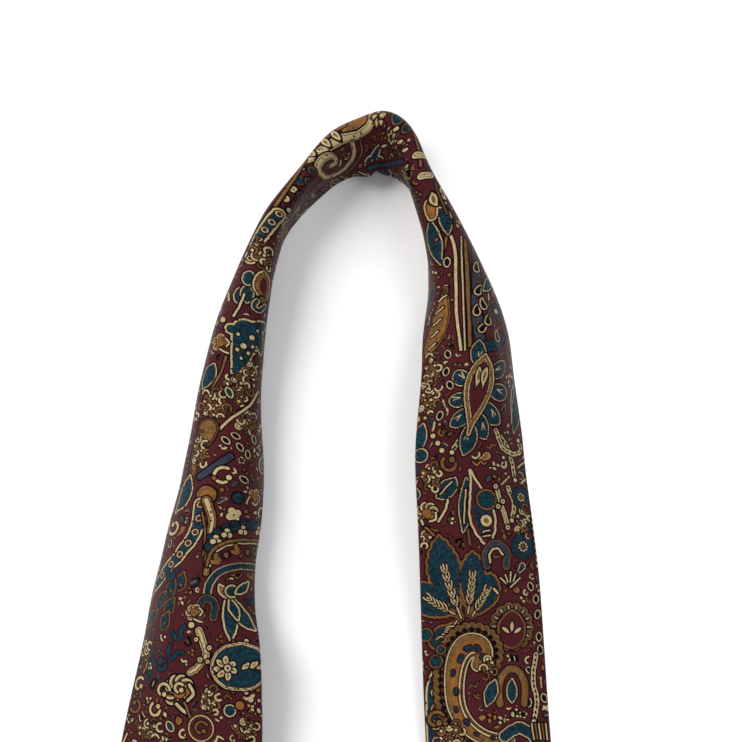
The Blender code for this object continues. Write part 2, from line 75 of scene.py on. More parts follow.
# thicknesses, from the middle of the tie outwards
SILK, WOOL, GAP = 0.40 * MM, 0.50 * MM, 0.75 * MM
LAYER = WOOL / 2 + GAP + SILK / 2       # to the middle of a silk layer
HALF = LAYER + SILK / 2                 # to the outer face
CROWN = 1.70 * MM                       # rise of a leg's rounded middle
FRONT_DIR, TAIL_DIR = math.radians(6.0), math.radians(3.5)
# lengths of the straight parts, from the neck outwards
FRONT_FIXED, FRONT_UPPER, FRONT_LOWER, FRONT_TIP = 70 * MM, 285 * MM, 130 * MM, 60 * MM
TAIL_FIXED, TAIL_UPPER, TAIL_TIP = 60 * MM, 260 * MM, 85 * MM
FRONT_WIDTH, TAIL_WIDTH = 92 * MM, 44 * MM
BLUNT = 8 * MM                          # width at the very end of a point
CORNER = 5 * MM                         # softening where a point's edges begin
HEM = 15 * MM
FRONT_OPEN, TAIL_OPEN = 118 * MM, 62 * MM       # where the back gapes, from each point
LEG_BEND = 14 * MM                      # least half width over which a leg is rounded
SETTLE = 60 * MM                        # run over which the neck's section becomes a leg's

# The neck's line: x and y (mm), slope of the section at its two edges (degrees), half width
# over which it bends (mm), width of the strip (mm), heading of the strip (degrees).
NECK_STATIONS = (
    (-62.0, -232.0, 9, 10, 21.0, 46.4, 84.0),
    (-59.2, -196.0, 8, 30, 19.0, 45.0, 86.0),
    (-58.7, -171.5, 19, 58, 20.0, 43.5, 87.0),
    (-58.5, -153.5, 56, 82, 20.0, 42.5, 86.0),
    (-55.8, -135.0, 76, 94, 20.0, 41.5, 82.0),
    (-52.5, -116.5, 80, 95, 18.0, 40.5, 80.0),
    (-48.6, -83.5, 96, 99, 14.0, 39.2, 73.0),
    (-43.9, -59.5, 98, 98, 10.0, 38.5, 68.0),
    (-38.5, -40.0, 92, 92, 5.0, 38.2, 64.0),
    (-35.5, -31.8, 90, 91, 3.6, 38.0, 64.0),
    (-30.0, -23.6, 89, 91, 3.2, 38.0, 64.0),
    (-22.9, -13.9, 82, 92, 3.2, 38.0, 57.0),
    (-15.7, -5.1, 66, 96, 3.2, 38.0, 38.0),
    (-7.3, -0.4, 48, 95, 3.2, 38.0, 11.0),
    (-0.3, 1.5, 44, 94, 3.2, 38.0, -11.0),
    (4.8, -2.0, 55, 88, 3.2, 38.0, -31.0),
    (8.4, -9.6, 83, 83, 3.6, 38.0, -52.0),
    (11.3, -17.7, 97, 87, 4.5, 38.0, -58.0),
    (15.4, -27.2, 99, 95, 6.5, 38.0, -60.0),
    (23.2, -47.2, 87, 98, 12.0, 38.0, -67.0),
    (28.9, -74.0, 50, 90, 19.0, 38.0, -79.0),
    (28.0, -106.0, 19, 53, 19.0, 38.0, -87.0),
    (28.8, -128.0, 9, 37, 19.0, 38.0, -87.0),
    (30.0, -164.0, 8, 17, 19.0, 38.0, -86.0),
    (31.2, -195.0, 9, 12, 19.0, 38.2, -86.0),
    (33.4, -232.0, 10, 10, 18.0, 38.6, -86.5),
)
TOP_STATION = 14
MIDDLE = (-40.475 * MM, -385.060 * MM)  # the frame's origin, in the stations' coordinates

# Creases in the silk (mm): s, x, half length, half width, height, tilt.
CREASES = (
    (-84, -5, 20, 2.4, 0.50, 0.18), (-100, 6, 26, 2.8, 0.42, -0.14),
    (-60, -8, 16, 2.2, 0.4, 0.1), (-132, 3, 22, 3.4, 0.35, 0.25),
    (-170, -8, 30, 3.6, 0.30, 0.12), (-205, 9, 34, 4.0, 0.3, -0.10),
    (58, -7, 16, 2.4, 0.45, -0.2), (78, 4, 20, 2.6, 0.5, 0.16),
    (97, -2, 22, 3.0, 0.4, 0.3), (122, 6, 24, 3.4, 0.32, -0.18),
    (160, -6, 30, 3.6, 0.26, 0.1), (200, 5, 34, 4.0, 0.25, -0.08),
    (28, -8, 12, 2.0, 0.4, 0.2), (-24, -9, 14, 2.2, 0.45, -0.15),
)


# ------------------------------------------------------------- draped form
def unit(v):
    return v / np.linalg.norm(v, axis=-1, keepdims=True)


def hermite(knots, values, slopes):
    """Piecewise cubic through values at knots with the given slopes."""
    steps = np.diff(knots)

    def curve(x):
        x = np.clip(np.asarray(x, float), knots[0], knots[-1])
        k = np.clip(np.searchsorted(knots, x, side="right") - 1, 0, len(knots) - 2)
        u = (x - knots[k]) / steps[k]
        return ((2 * u**3 - 3 * u**2 + 1) * values[k]
                + (u**3 - 2 * u**2 + u) * steps[k] * slopes[k]
                + (3 * u**2 - 2 * u**3) * values[k + 1]
                + (u**3 - u**2) * steps[k] * slopes[k + 1])

    return curve


def spline(knots, v, first_slope, last_slope):
    """Smooth cubic spline through v with given end slopes."""
    n, h = len(knots), np.diff(knots)
    matrix, right = np.zeros((n, n)), np.zeros(n)
    for i in range(1, n - 1):
        matrix[i, i - 1], matrix[i, i], matrix[i, i + 1] = h[i], 2 * (h[i - 1] + h[i]), h[i - 1]
        right[i] = 3 * (h[i] * (v[i] - v[i - 1]) / h[i - 1] + h[i - 1] * (v[i + 1] - v[i]) / h[i])
    matrix[0, 0] = matrix[-1, -1] = 1.0
    right[0], right[-1] = first_slope, last_slope
    return hermite(knots, v, np.linalg.solve(matrix, right))


def monotone(knots, v):
    """Piecewise cubic through v that never overshoots."""
    h = np.diff(knots)
    rise = np.diff(v) / h
    slopes = np.zeros(len(knots))
    for i in range(1, len(knots) - 1):
        if rise[i - 1] * rise[i] > 0:
            w1, w2 = 2 * h[i] + h[i - 1], h[i] + 2 * h[i - 1]
            slopes[i] = (w1 + w2) / (w1 / rise[i - 1] + w2 / rise[i])
    return hermite(knots, v, slopes)


stations = np.array(NECK_STATIONS, float)
stations[:, [0, 1, 4, 5]] *= MM
stations[:, 2:4] = np.radians(stations[:, 2:4])
# headings of the legs, away from the neck
FRONT_AWAY = np.array([-math.sin(FRONT_DIR), -math.cos(FRONT_DIR)])
TAIL_AWAY = np.array([math.sin(TAIL_DIR), -math.cos(TAIL_DIR)])


def neck_line(knots):
    return [spline(knots, stations[:, k], -FRONT_AWAY[k], TAIL_AWAY[k]) for k in (0, 1)]


def run_along(points):
    """Length travelled along a line of points, at each of them."""
    lengths = np.linalg.norm(np.diff(points, axis=0), axis=1)
    return np.concatenate([[0], np.cumsum(lengths)])


knots = run_along(stations[:, :2])
for _ in range(3):      # bring the knots to true lengths along the curve
    line_x, line_y = neck_line(knots)
    fine = np.concatenate([np.linspace(a, b, 40, endpoint=False)
                           for a, b in zip(knots[:-1], knots[1:])] + [knots[-1:]])
    knots = np.interp(knots, fine, run_along(np.stack([line_x(fine), line_y(fine)], 1)))
S_NECK = knots - knots[TOP_STATION]
neck_x, neck_y = neck_line(S_NECK)
neck_slope_in, neck_slope_out, neck_bend, neck_width = [
    monotone(S_NECK, stations[:, k]) for k in (2, 3, 4, 5)]
neck_heading = monotone(S_NECK, np.radians(stations[:, 6]))

S_F0, S_T0 = float(S_NECK[0]), float(S_NECK[-1])    # where the front and tail legs begin
S_FRONT_FOLD = S_F0 - FRONT_FIXED
S_FRONT_LOWER = S_FRONT_FOLD - FRONT_UPPER
S_FRONT_TIP = S_FRONT_LOWER - FRONT_LOWER
S_FRONT_END = S_FRONT_TIP - FRONT_TIP
S_TAIL_FOLD = S_T0 + TAIL_FIXED
S_TAIL_TIP = S_TAIL_FOLD + TAIL_UPPER
S_TAIL_END = S_TAIL_TIP + TAIL_TIP
# diagonal seams of the cloth: place at the middle, and run per distance across
SEAM_F, SEAM_T, SLANT = S_F0 - 16 * MM, S_T0 + 8 * MM, 0.8


def soft_min(a, b):
    h = np.clip(0.5 + (b - a) / (2 * CORNER), 0, 1)
    return b + (a - b) * h - CORNER * h * (1 - h)


def width(s):
    s = np.asarray(s, float)
    first, last = stations[0, 5], stations[-1, 5]
    down = np.clip((S_F0 - s) / (S_F0 - S_FRONT_TIP), 0, 1)
    front = first + (FRONT_WIDTH - first) * (0.86 * down + 0.14 * down * down)
    down = np.clip((s - S_T0) / (S_TAIL_END - S_T0), 0, 1)
    tail = last + (TAIL_WIDTH - last) * down
    w = np.where(s < S_F0, front, np.where(s > S_T0, tail, neck_width(s)))
    w = soft_min(w, BLUNT + 2 * (s - S_FRONT_END))
    return soft_min(w, BLUNT + 2 * (S_TAIL_END - s))


def half(s):
    """Half the flat width of the strip, without the rounded edge."""
    return np.maximum(width(s) / 2 - HALF, 0.15 * MM)


def on_leg(s):
    return (s < S_F0) | (s > S_T0)


def section(s):
    """The cross-section at s: slopes of its two edges and the half width that bends."""
    hw = np.maximum(width(s) / 2 - HALF, 1e-4)
    leg_bend = np.maximum(hw, LEG_BEND)
    flat = 2 * CROWN / leg_bend
    t = np.clip(np.maximum(S_F0 - s, s - S_T0) / SETTLE, 0, 1)
    t = t * t * (3 - 2 * t)

    def settled(neck, leg):
        return np.where(on_leg(s), neck + (leg - neck) * t, neck)

    return (settled(neck_slope_in(s), flat), settled(neck_slope_out(s), flat),
            settled(neck_bend(s), leg_bend))


def path(s):
    """Place of the strip's middle line, and its heading as a unit vector."""
    s = np.asarray(s, float)
    c = np.clip(s, S_F0, S_T0)
    heading = neck_heading(c)
    before, after = np.minimum(s - S_F0, 0), np.maximum(s - S_T0, 0)
    return (neck_x(c) - before * FRONT_AWAY[0] + after * TAIL_AWAY[0] - MIDDLE[0],
            neck_y(c) - before * FRONT_AWAY[1] + after * TAIL_AWAY[1] - MIDDLE[1],
            np.cos(heading), np.sin(heading))


def cross(slope_in, slope_out, bend, x):
    """Sideways place and height of x on the cross-section, from its middle."""
    k = (slope_in + slope_out) / (2 * bend)

    def arc(x):
        slope = slope_in - k * (np.clip(x, -bend, bend) + bend)
        low, high = np.minimum(x + bend, 0), np.maximum(x - bend, 0)
        return ((np.sin(slope_in) - np.sin(slope)) / k
                + low * np.cos(slope_in) + high * np.cos(slope_out),
                (np.cos(slope) - np.cos(slope_in)) / k
                + low * np.sin(slope_in) - high * np.sin(slope_out))

    (side, height), (side0, height0) = arc(x), arc(np.zeros_like(bend))
    return side - side0, height - height0


def ripple(s, x):
    """Soft waves of the pressed silk: long ones along the strip and slanting creases."""
    s, x = s / MM, x / MM
    w = 0.16 * np.sin(s / 17.0 + 0.6 * np.sin(x / 9.0)) * np.cos(x / 11.0 + s / 61.0)
    w = w + (0.12 * np.sin(s / 7.3 + x / 5.1 + 1.3 * np.sin(s / 41.0))
             * np.exp(-((np.mod(s + 40, 96) - 48) / 21.0) ** 2))
    w = w + 0.07 * np.sin(s / 4.1 - x / 3.3 + np.sin(s / 23.0))
    for s0, x0, long, wide, height, tilt in CREASES:
        across = (x - x0) - tilt * (s - s0)
        w = w + height * np.exp(-(across / wide) ** 2 - ((s - s0) / long) ** 2)
    return 1.5 * w * MM


def middle(s, x):
    """World points of the middle layer."""
    px, py, dx, dy = path(s)
    form = section(s)
    hw = np.maximum(width(s) / 2 - HALF, 0)
    full = np.where(on_leg(s), np.maximum(hw, LEG_BEND), hw)
    low = np.minimum(cross(*form, -full)[1], cross(*form, full)[1])
    side, height = cross(*form, x)
    points = np.broadcast_arrays(px - dy * side, py + dx * side, HALF - low + height)
    return np.stack(points, -1)


def strip(s, x, off):
    """World points of strip coordinates; s may be one column for all of x."""
    s = np.asarray(s, float)
    e = 0.2 * MM
    normal = unit(np.cross(middle(s + e, x) - middle(s - e, x),
                           middle(s, x + e) - middle(s, x - e)))
    fade = np.clip(1.15 - np.abs(x) / np.maximum(half(s), 1e-3) * 0.75, 0, 1)
    lift = np.maximum(ripple(s, x) * fade, -0.25 * MM)
    return middle(s, x) + normal * (np.asarray(off) + lift)[..., None]


TURN = 0.12         # share of the half face taken by a rounded edge


def flap_length(s):
    """How far each flap reaches back over the wool: to the middle, or a hem at the points."""
    full = half(s) - 0.14 * MM
    closing = np.minimum(np.clip((s - S_FRONT_END) / FRONT_OPEN, 0, 1),
                         np.clip((S_TAIL_END - s) / TAIL_OPEN, 0, 1))
    hem = np.minimum(HEM * 1.25, full)
    return np.where(closing >= 1, full, np.minimum(full, hem + (full - hem) * closing**1.3))


def silk_points(s, fold, layer):
    """Points of the folded silk, and its place in the cloth: across and along.
    fold: 0 the centre of the face, +-1 the folded edges, +-2 the flaps' ends."""
    hw = half(s)
    end = hw - flap_length(s)
    reach, side = np.abs(fold), np.sign(fold)
    angle = np.clip((reach - (1 - TURN)) / (2 * TURN), 0, 1) * math.pi
    face = np.clip(reach / (1 - TURN), 0, 1)
    back = np.clip((reach - 1 - TURN) / (1 - TURN), 0, 1)
    x = side * (hw * face - (hw - end) * back)
    points = strip(s, x, layer * np.cos(angle))
    e = 0.02 * MM
    outward = unit((middle(s, x + e) - middle(s, x - e)) / (2 * e))
    # on a flap the cloth is the mirror image about the slanting edge it is folded on
    m = np.clip((half(s + 1 * MM) - half(s - 1 * MM)) / (2 * MM), -1, 1)
    turned = (hw - end) * back
    across = side * (hw * face + LAYER * angle + turned * (1 - m * m) / (1 + m * m))
    along = s - turned * 2 * m / (1 + m * m)
    return points + outward * (side * layer * np.sin(angle))[..., None], across, along


# ------------------------------------------------------------ camera's view
TARGET = np.array([-3.2 * MM - MIDDLE[0], -78 * MM - MIDDLE[1], 0.0])
DISTANCE, TILT = 0.60, math.radians(75)
LENS = 90.0
AIM = np.array([0, math.cos(TILT), -math.sin(TILT)])
UP = np.array([0, math.sin(TILT), math.cos(TILT)])
EYE = TARGET - DISTANCE * AIM

# Main motifs are placed on the aim plane: the plane through TARGET that faces the camera,
# in mm from TARGET, x to the right and y up. seen() finds the fabric behind such a place.
OVER_EDGE = 0.64        # a place further than this from all visible fabric lies outside it


def on_aim_plane(points):
    rays = points - EYE
    scale = DISTANCE / MM / (rays @ AIM)
    return np.stack([rays[..., 0] * scale, rays @ UP * scale], -1)


def visible_fabric():
    """Visible points of the face: their aim-plane places and fabric coordinates."""
    s = np.arange(-300, 300, 0.8)[:, None] * MM
    x = np.linspace(-1, 1, 71)[None, :] * half(s)
    points = strip(s, x, HALF)
    normals = unit(np.cross(np.gradient(points, axis=0), np.gradient(points, axis=1)))
    facing = (normals * unit(EYE - points)).sum(-1) > 0.12
    fabric = np.stack([x / MM, np.broadcast_to(s / MM, x.shape)], -1)
    return on_aim_plane(points)[facing], fabric[facing]


SEEN_PLACES, SEEN_FABRIC = visible_fabric()


def seen(points):
    """Fabric coordinates (across, along; mm) behind places on the aim plane."""
    found = []
    for point in np.atleast_2d(np.asarray(points, float)):
        gaps = ((SEEN_PLACES - point) ** 2).sum(1)
        nearest = np.argpartition(gaps, 3)[:3]
        weights = 1 / (gaps[nearest] + 0.00512)
        weights = (weights / weights.sum())[:, None]
        fabric = (SEEN_FABRIC[nearest] * weights).sum(0)
        if gaps[nearest].min() > OVER_EDGE ** 2:        # carry on over the edge
            over = point - (SEEN_PLACES[nearest] * weights).sum(0)
            _, _, dx, dy = path(fabric[1] * MM)
            fabric = fabric + np.array([over @ np.array([-dy, dx]), over @ np.array([dx, dy])])
        found.append(fabric)
    return np.array(found)


# ------------------------------------------------------------------- print
# Layers are given as text, from the bottom up: "ink growth ink growth ...", where growth
# is how far the ink reaches beyond the shape. "ground" is bare fabric.
# Radii, growths and the motifs' own drawings are in pens.
INKS = ("cream", "bead", "gold", "teal", "dark", "slate", "orange", "brown")
PEN = 0.32          # mm
PAINTED = []        # (zone, low corner, high corner, shapes, [(ink, growth in mm)])


class At:
    """A place for a motif, on the aim plane (up=0) or on the fabric (up=+-1, the way its
    y axis runs along the strip). zone is the cloth: -1 front, 0 neck, 1 tail."""

    def __init__(self, x, y, turn=0.0, size=1.0, mirror=False, zone=0, up=0):
        if up:
            self.origin, dx, dy = np.array([x, y], float), 0.0, up
        else:
            self.origin = seen((x, y))[0]
            _, _, dx, dy = path(self.origin[1] * MM)
        c, s = math.cos(math.radians(turn)), math.sin(math.radians(turn))
        self.pen, self.zone = PEN * size, zone
        turned = np.array([[c, -s], [s, c]]) @ np.diag([-1.0 if mirror else 1.0, 1.0]) * self.pen
        self.matrix = np.array([[-dy, dx], [dx, dy]], float) @ turned

    def __call__(self, points):
        return np.atleast_2d(np.asarray(points, float)) @ self.matrix.T + self.origin


class Face:
    """The whole visible face: points are places on the aim plane."""
    pen, zone = PEN, 0

    def __call__(self, points):
        return seen(points)


FACE = Face()


def left(v):
    return np.array([-v[1], v[0]])


def bearing(angle):
    """Unit vector turned clockwise from y."""
    return np.array([math.sin(angle), math.cos(angle)])


def oval(angles, rx, ry):
    return np.stack([rx * np.cos(angles), ry * np.sin(angles)], -1)


def smooth(points, steps=4):
    """Catmull-Rom curve through points, which may carry a radius as a third column."""
    p = np.asarray(points, float)
    if len(p) < 3:
        t = np.linspace(0, 1, steps + 1)[:, None]
        return p[0] * (1 - t) + p[1] * t
    q = np.vstack([2 * p[0] - p[1], p, 2 * p[-1] - p[-2]])
    t = np.linspace(0, 1, steps, endpoint=False)[:, None]
    spans = [0.5 * (2 * b + (c - a) * t + (2 * a - 5 * b + 4 * c - d) * t**2
                    + (3 * b - a - 3 * c + d) * t**3)
             for a, b, c, d in zip(q[:-3], q[1:-2], q[2:-1], q[3:])]
    return np.vstack(spans + [p[-1:]])


def ink(at, parts, layers):
    """Paint a union of swept shapes; parts is a list of (points, radii)."""
    words = layers.split()
    layers = [(name, float(grow)) for name, grow in zip(words[::2], words[1::2])]
    shapes, low, high = [], np.full(2, 1e9), np.full(2, -1e9)
    for points, radii in parts:
        p = at(points)
        r = np.broadcast_to(np.asarray(radii, float) * at.pen, (len(p),))
        shapes.append((p, r))
        low = np.minimum(low, (p - r[:, None]).min(0))
        high = np.maximum(high, (p + r[:, None]).max(0))
    margin = max(grow for _, grow in layers) * at.pen + 0.5
    # a dark outline at the bottom is drawn a little fuller
    fuller = [0.35 if n == 0 and name == "dark" else 0.0 for n, (name, _) in enumerate(layers)]
    PAINTED.append((at.zone, low - margin, high + margin, shapes,
                    [(name, (grow + f) * at.pen) for (name, grow), f in zip(layers, fuller)]))


def outlined(fill, line=1.55, gap=0.5):
    return f"dark {line + 1.0} cream {line} dark {gap} {fill} 0"


def spots(points, radius):
    return [([p], radius) for p in points]


def stroke(at, points, radius=0.9, tone="cream", dark=0.9, steps=4, taper=0.0):
    curve = smooth(points, steps)
    t = np.linspace(0, 1, len(curve))
    radii = np.maximum(radius * (1 - taper * np.abs(2 * t - 1) ** 2) * 0.82, 0.42)
    ink(at, [(curve, radii)], f"dark {dark} {tone} 0" if dark else f"{tone} 0")


def petal_shape(p0, p1, radius, bend=0.0, belly=0.5, count=10, end=0.25):
    """A pointed petal; belly is where along it the radius is greatest."""
    p0, p1 = np.asarray(p0, float), np.asarray(p1, float)
    d = p1 - p0
    normal = left(d) / (np.hypot(*d) + 1e-9)
    t = np.linspace(0, 1, count)
    line = p0 + d * t[:, None] + normal * (bend * np.sin(math.pi * t))[:, None]
    swell = np.sin(math.pi * t ** (math.log(0.5) / math.log(belly)))
    return line, np.maximum(radius * swell ** (1.05 if radius > 3 else 0.8), end)


def petal(at, p0, p1, radius, bend=0.0, belly=0.5, layers=outlined("teal")):
    ink(at, [petal_shape(p0, p1, radius, bend, belly)], layers)


def disc(at, x, y, radius, layers):
    ink(at, [([(x, y)], radius)], layers)


def beads(at, points, step, radius, layers, steps=6):
    curve = smooth(points, steps)
    run = np.concatenate([[0], np.cumsum(np.hypot(*np.diff(curve, axis=0).T))])
    stops = np.linspace(0, run[-1], max(2, int(run[-1] / step) + 1))
    places = np.stack([np.interp(stops, run, curve[:, k]) for k in (0, 1)], 1)
    ink(at, spots(places, radius), layers)


def drop_shape(length, radius, curl, count=10):
    """A teardrop with its round head at the origin and a tail that hooks to one side."""
    t = np.linspace(0, 1, count)
    return (np.stack([curl * length * 0.55 * t**2, length * (t - 0.12 * t**3)], 1),
            np.maximum(radius * (1 - t) ** 0.72, 0.3))


def drop(at, length, radius, curl, fill="dark", tone="cream", line=1.3):
    ink(at, [drop_shape(length, radius, curl)], f"dark {line + 0.9} {tone} {line} {fill} 0")


def seed(at, length, radius, fill="dark"):
    petal(at, (0, -length / 2), (0, length / 2), radius, layers=f"dark 2.0 cream 1.2 {fill} 0")


# ---------------------------------------------------------- composed motifs
def great_flower(at):
    """A long open blossom seen from above: pointed petals round an oval heart."""
    for p0, p1, radius, bend in (
            ((-3, 24), (-3, 51), 6.4, 1), ((8, 18), (27, 34), 6.4, -2), ((12, 6), (32, 5), 7.0, -2),
            ((11, -8), (27, -25), 7.0, -3), ((6, -20), (14, -42), 6.6, -2),
            ((-3, -28), (-5, -60), 7.0, 2), ((-9, -16), (-20, -33), 6.0, 2),
            ((-12, -4), (-24, -8), 6.0, 2), ((-11, 10), (-22, 20), 6.2, 2)):
        petal(at, p0, p1, radius, bend, belly=0.52)
        d = np.array(p1) - np.array(p0)
        foot, e = np.array(p0) + d * 0.34, d / np.hypot(*d)
        for lean in (-0.35, 0.15):
            stroke(at, [foot, foot + 7 * (e + lean * left(e))], 0.6, dark=0.0, steps=2)
    ink(at, [petal_shape((-3, -40), (3, 37), 12.5, 0.6, belly=0.62, count=14)],
        "dark 2.6 cream 1.7 dark 0.4 gold 0 bead -2.2 dark -3.2 ground -3.9")
    for x, bend in ((-3.0, -1.0), (4.6, 1.0)):
        petal(at, (x - 1, 4), (x + 1, 26), 3.2, bend, 0.6, "dark 1 cream 0 gold -1.7")


def oak_leaf(at):
    """A broad five-lobed leaf with a wavy ochre margin and feathered cream veins."""
    lobes = [((-2, -2), (-26, 74), 12.5, 4), ((4, 2), (6, 60), 9.5, -2), ((8, 0), (24, 40), 9.0, -4),
             ((-8, 2), (-44, 30), 11.0, 5), ((-6, -4), (-30, -24), 9.0, 6)]
    parts = [petal_shape(*lobe, belly=0.62, count=12) for lobe in lobes]
    knobs = []
    for line, radii in parts:
        for i in range(2, 11):
            d = line[min(i + 1, 11)] - line[i - 1]
            normal = left(d) / (np.hypot(*d) + 1e-9)
            knobs += spots([line[i] + side * normal * radii[i] * 0.74 for side in (1, -1)],
                           radii[i] * 0.30 + 1.6)
    ink(at, parts + knobs, "dark 3.6 brown 2.8 gold 2.2 dark 0.5 teal -0.2")
    for foot, tip, _, bend in lobes:
        foot = np.array(foot, float)
        d = np.array(tip, float) - foot
        e = d / np.hypot(*d)
        normal = left(e)
        stroke(at, [foot, foot + d * 0.35 + normal * bend * 0.6,
                    foot + d * 0.68 + normal * bend * 0.8], 1.15, dark=0.7, taper=0.3)
        for t in (0.16, 0.26, 0.36, 0.46, 0.56):
            q = foot + d * t + normal * bend * 0.75 * math.sin(math.pi * t)
            for side in (1, -1):
                stroke(at, [q, q + e * 4.4 + side * normal * 2.6,
                            q + e * 8.5 + side * normal * 3.4 * (1 - 0.4 * t)],
                       0.75, dark=0.45, steps=2)


def curl_paisley(at):
    """A paisley whose head curls over; scalloped outer frill and a spotted body."""
    spine = smooth([(3, -9, 3.5), (8, -1, 6.0), (3, 8, 8.2), (-8, 8, 9.0), (-16, -5, 7.8),
                    (-18.5, -27, 6.6), (-15.5, -49, 5.8), (-5, -66, 5.0), (12, -77, 4.0),
                    (34, -80, 2.4)])
    line, radii = spine[:, :2], spine[:, 2]
    along = unit(np.gradient(line, axis=0))
    normal = np.stack([-along[:, 1], along[:, 0]], 1)
    outer = normal * (1 if (line[12] - line[0]) @ normal[12] > 0 else -1)
    frill = line[3:-2] + outer[3:-2] * (radii[3:-2, None] + 6.5)
    ink(at, [(frill, 4.2)], "dark 2.2 gold 1.2 brown -0.6")
    beads(at, frill + outer[3:-2] * 3.4, 6.6, 3.4, "dark 1 gold 0.2 brown -1", steps=1)
    beads(at, frill, 6.6, 1.9, "dark 0", steps=1)
    ink(at, [(line, radii)], "dark 4 cream 3.1 dark 1.7 gold 1 orange -3.6")
    stroke(at, (line - outer * (radii[:, None] - 1.6))[8:], 1.0, dark=0.6, steps=1)
    for i, size in ((3, 2.6), (7, 3.4), (11, 3.6), (15, 3.4), (18, 2.6), (21, 3.0), (24, 2.4),
                    (27, 2.8), (30, 2.0), (33, 1.7)):
        q = line[i] + normal[i] * radii[i] * 0.25 * (1 if i % 2 else -1)
        ink(at, [([q, q + along[i] * size], size * 0.72)], "brown 1.1 dark 0.5 teal -0.4")


def medallion(at):
    """A round frilled medallion: ochre rim, dark scalloped ring, three slim petals."""
    r = 17.0
    angles = np.linspace(0, 2 * math.pi, 15)[:-1]
    ink(at, spots(oval(angles, r, r * 1.1), 4.2) + [([(0, 0)], r)],
        "dark 1.6 gold 0.7 brown -0.4 dark -1.5 slate -2.1")
    for p in oval(angles, 1.0, 1.1):
        stroke(at, [p * (r - 1.5), p * (r + 1.8)], 0.7, "bead", dark=0.0, steps=2)
    ink(at, [petal_shape((0, -r * 0.98), (0, r * 0.84), r * 0.70, belly=0.42),
             ([(r * 0.42, 1)], 4.6), ([(-r * 0.42, 1)], 4.6)],
        "dark 2.8 gold 2 brown 0.8 dark -0.2 ground -0.8")
    for turn, length in ((0, 10), (52, 9), (-52, 9)):
        e = bearing(math.radians(turn))
        petal(at, e * 3 + (0, -8), e * (length + 3) + (0, -8), 1.7, layers="dark 0.7 cream 0")


def carnation(at, count=5):
    """A small clustered blossom in ochre with cream turned edges."""
    for angle in np.linspace(-1.9, 1.9, count):
        disc(at, *(bearing(angle) * 6.0), 4.6, "dark 1.2 cream 0.4 gold -1 orange -2.6")
    disc(at, 0, 0, 4.2, "dark 0.4 orange 0 gold -2")
    stroke(at, [(4, -7), (9, -4), (8, 2)], 1.2)
    stroke(at, [(-4, -7), (-1, -12), (2, -15)], 1.3)


def hook(at, size, radius, tone="cream"):
    """An open spiral tendril."""
    angles = np.linspace(0, 2 * math.pi * 0.8, 14)
    reach = size * (1 - 0.45 * angles / angles[-1])
    points = oval(angles, reach, reach)
    stroke(at, points, radius, tone, steps=2)
    disc(at, *points[-1], radius * 1.5, f"dark 0.9 {tone} 0")


def long_drop(at, length, radius):
    """A hanging drop: cream outline, ringed disc above a feathered core."""
    ink(at, [petal_shape((0, length), (0, 0), radius, belly=0.66, count=14, end=1.2)],
        "dark 2.6 cream 1.6 dark -0.6 teal -1.2")
    disc(at, 0, length * 0.52, radius * 0.86, "dark 2.2 brown 1.6 dark 0.2 teal -0.4")
    for k in range(4):
        stroke(at, [(-1.8, length * 0.10 + 4 * k), (1.8, length * 0.13 + 4 * k)], 0.9,
               dark=0.5, steps=2)


def rosette(at, radius, count):
    """A teal rosette with a cream dotted heart."""
    angles = np.linspace(0, 2 * math.pi, count + 1)[:-1]
    rim = spots(oval(angles, radius, radius), radius * 0.42)
    ink(at, rim + [([(0, 0)], radius)], "dark 0.7 teal 0")
    for x, y in oval(angles, radius * 0.45, radius * 0.45):
        disc(at, x, y, 1.2, "dark 0.5 cream 0")
    disc(at, 0, 0, 1.6, "gold 0")


def lace(at, rx, ry, count, random_seed, tones=("cream", "gold", "cream", "brown")):
    """A dense patch of little curls, scallops and dots."""
    random = np.random.RandomState(random_seed)
    ring = oval(np.linspace(0, 6.28, 9), 0.42 * rx, 0.42 * ry)
    ink(at, spots(ring, 0.55 * min(rx, ry)), "dark 0.4 brown -0.3")
    for i in range(count):
        q = math.sqrt((i + 0.5) / count)
        x, y = rx * q * math.cos(2.4 * i), ry * q * math.sin(2.4 * i)
        start, size = random.uniform(0, 6.28), random.uniform(2.2, 4.0)
        arc = np.linspace(start, start + random.uniform(2.4, 4.6), 6)
        stroke(at, oval(arc, size, size) + (x, y), random.uniform(0.8, 1.25),
               tones[i % len(tones)], dark=0.5, steps=2)
        if i % 3 == 0:
            disc(at, x, y, 1.5, "dark 0.4 cream 0")


def blossom(at):
    """A pointed little lily: a round eye and three long petals."""
    for turn in (120, 180, 240):
        e = bearing(math.radians(turn))
        petal(at, e * 2, e * 20, 3.36, 1.0, 0.42, outlined("teal", line=1.5, gap=0.3))
    disc(at, 0, 2, 4.4, outlined("teal", line=1.7, gap=0.3))


def ringed_band(at, points, radius=6.5, step=15.0):
    """A teal band between beaded lines, with ground-coloured rings."""
    ink(at, [(smooth(points, 5), radius)], "dark 3 bead 2.1 dark 0.3 teal -0.2")
    beads(at, points, step, radius * 0.45, "dark 1.9 cream 1.2 dark 0.1 ground -0.2", steps=5)


def spray(at):
    """Four slim stems, each with a leaf, fanning out from one foot."""
    length = 34
    for i, tone in enumerate(("cream", "brown", "cream", "gold")):
        x = (i - 1.5) * 9.0
        stroke(at, [(x * 0.15, 0), (x * 0.6, length * 0.45), (x * 1.25, length)], 1.2, tone, steps=5)
        petal(at, (x * 1.15, length * 0.75), (x * 1.7, length * 1.25), 3.0, 1.0,
              layers=outlined("teal" if i % 2 else "gold", line=1.2, gap=0.2))


def squiggle(at, size=1.0, fill="teal"):
    points = np.array([(-6, 5), (-5, -3), (1, -4), (2, 2), (7, 4)])
    stroke(at, points * size, 2.3, fill, dark=0.7)


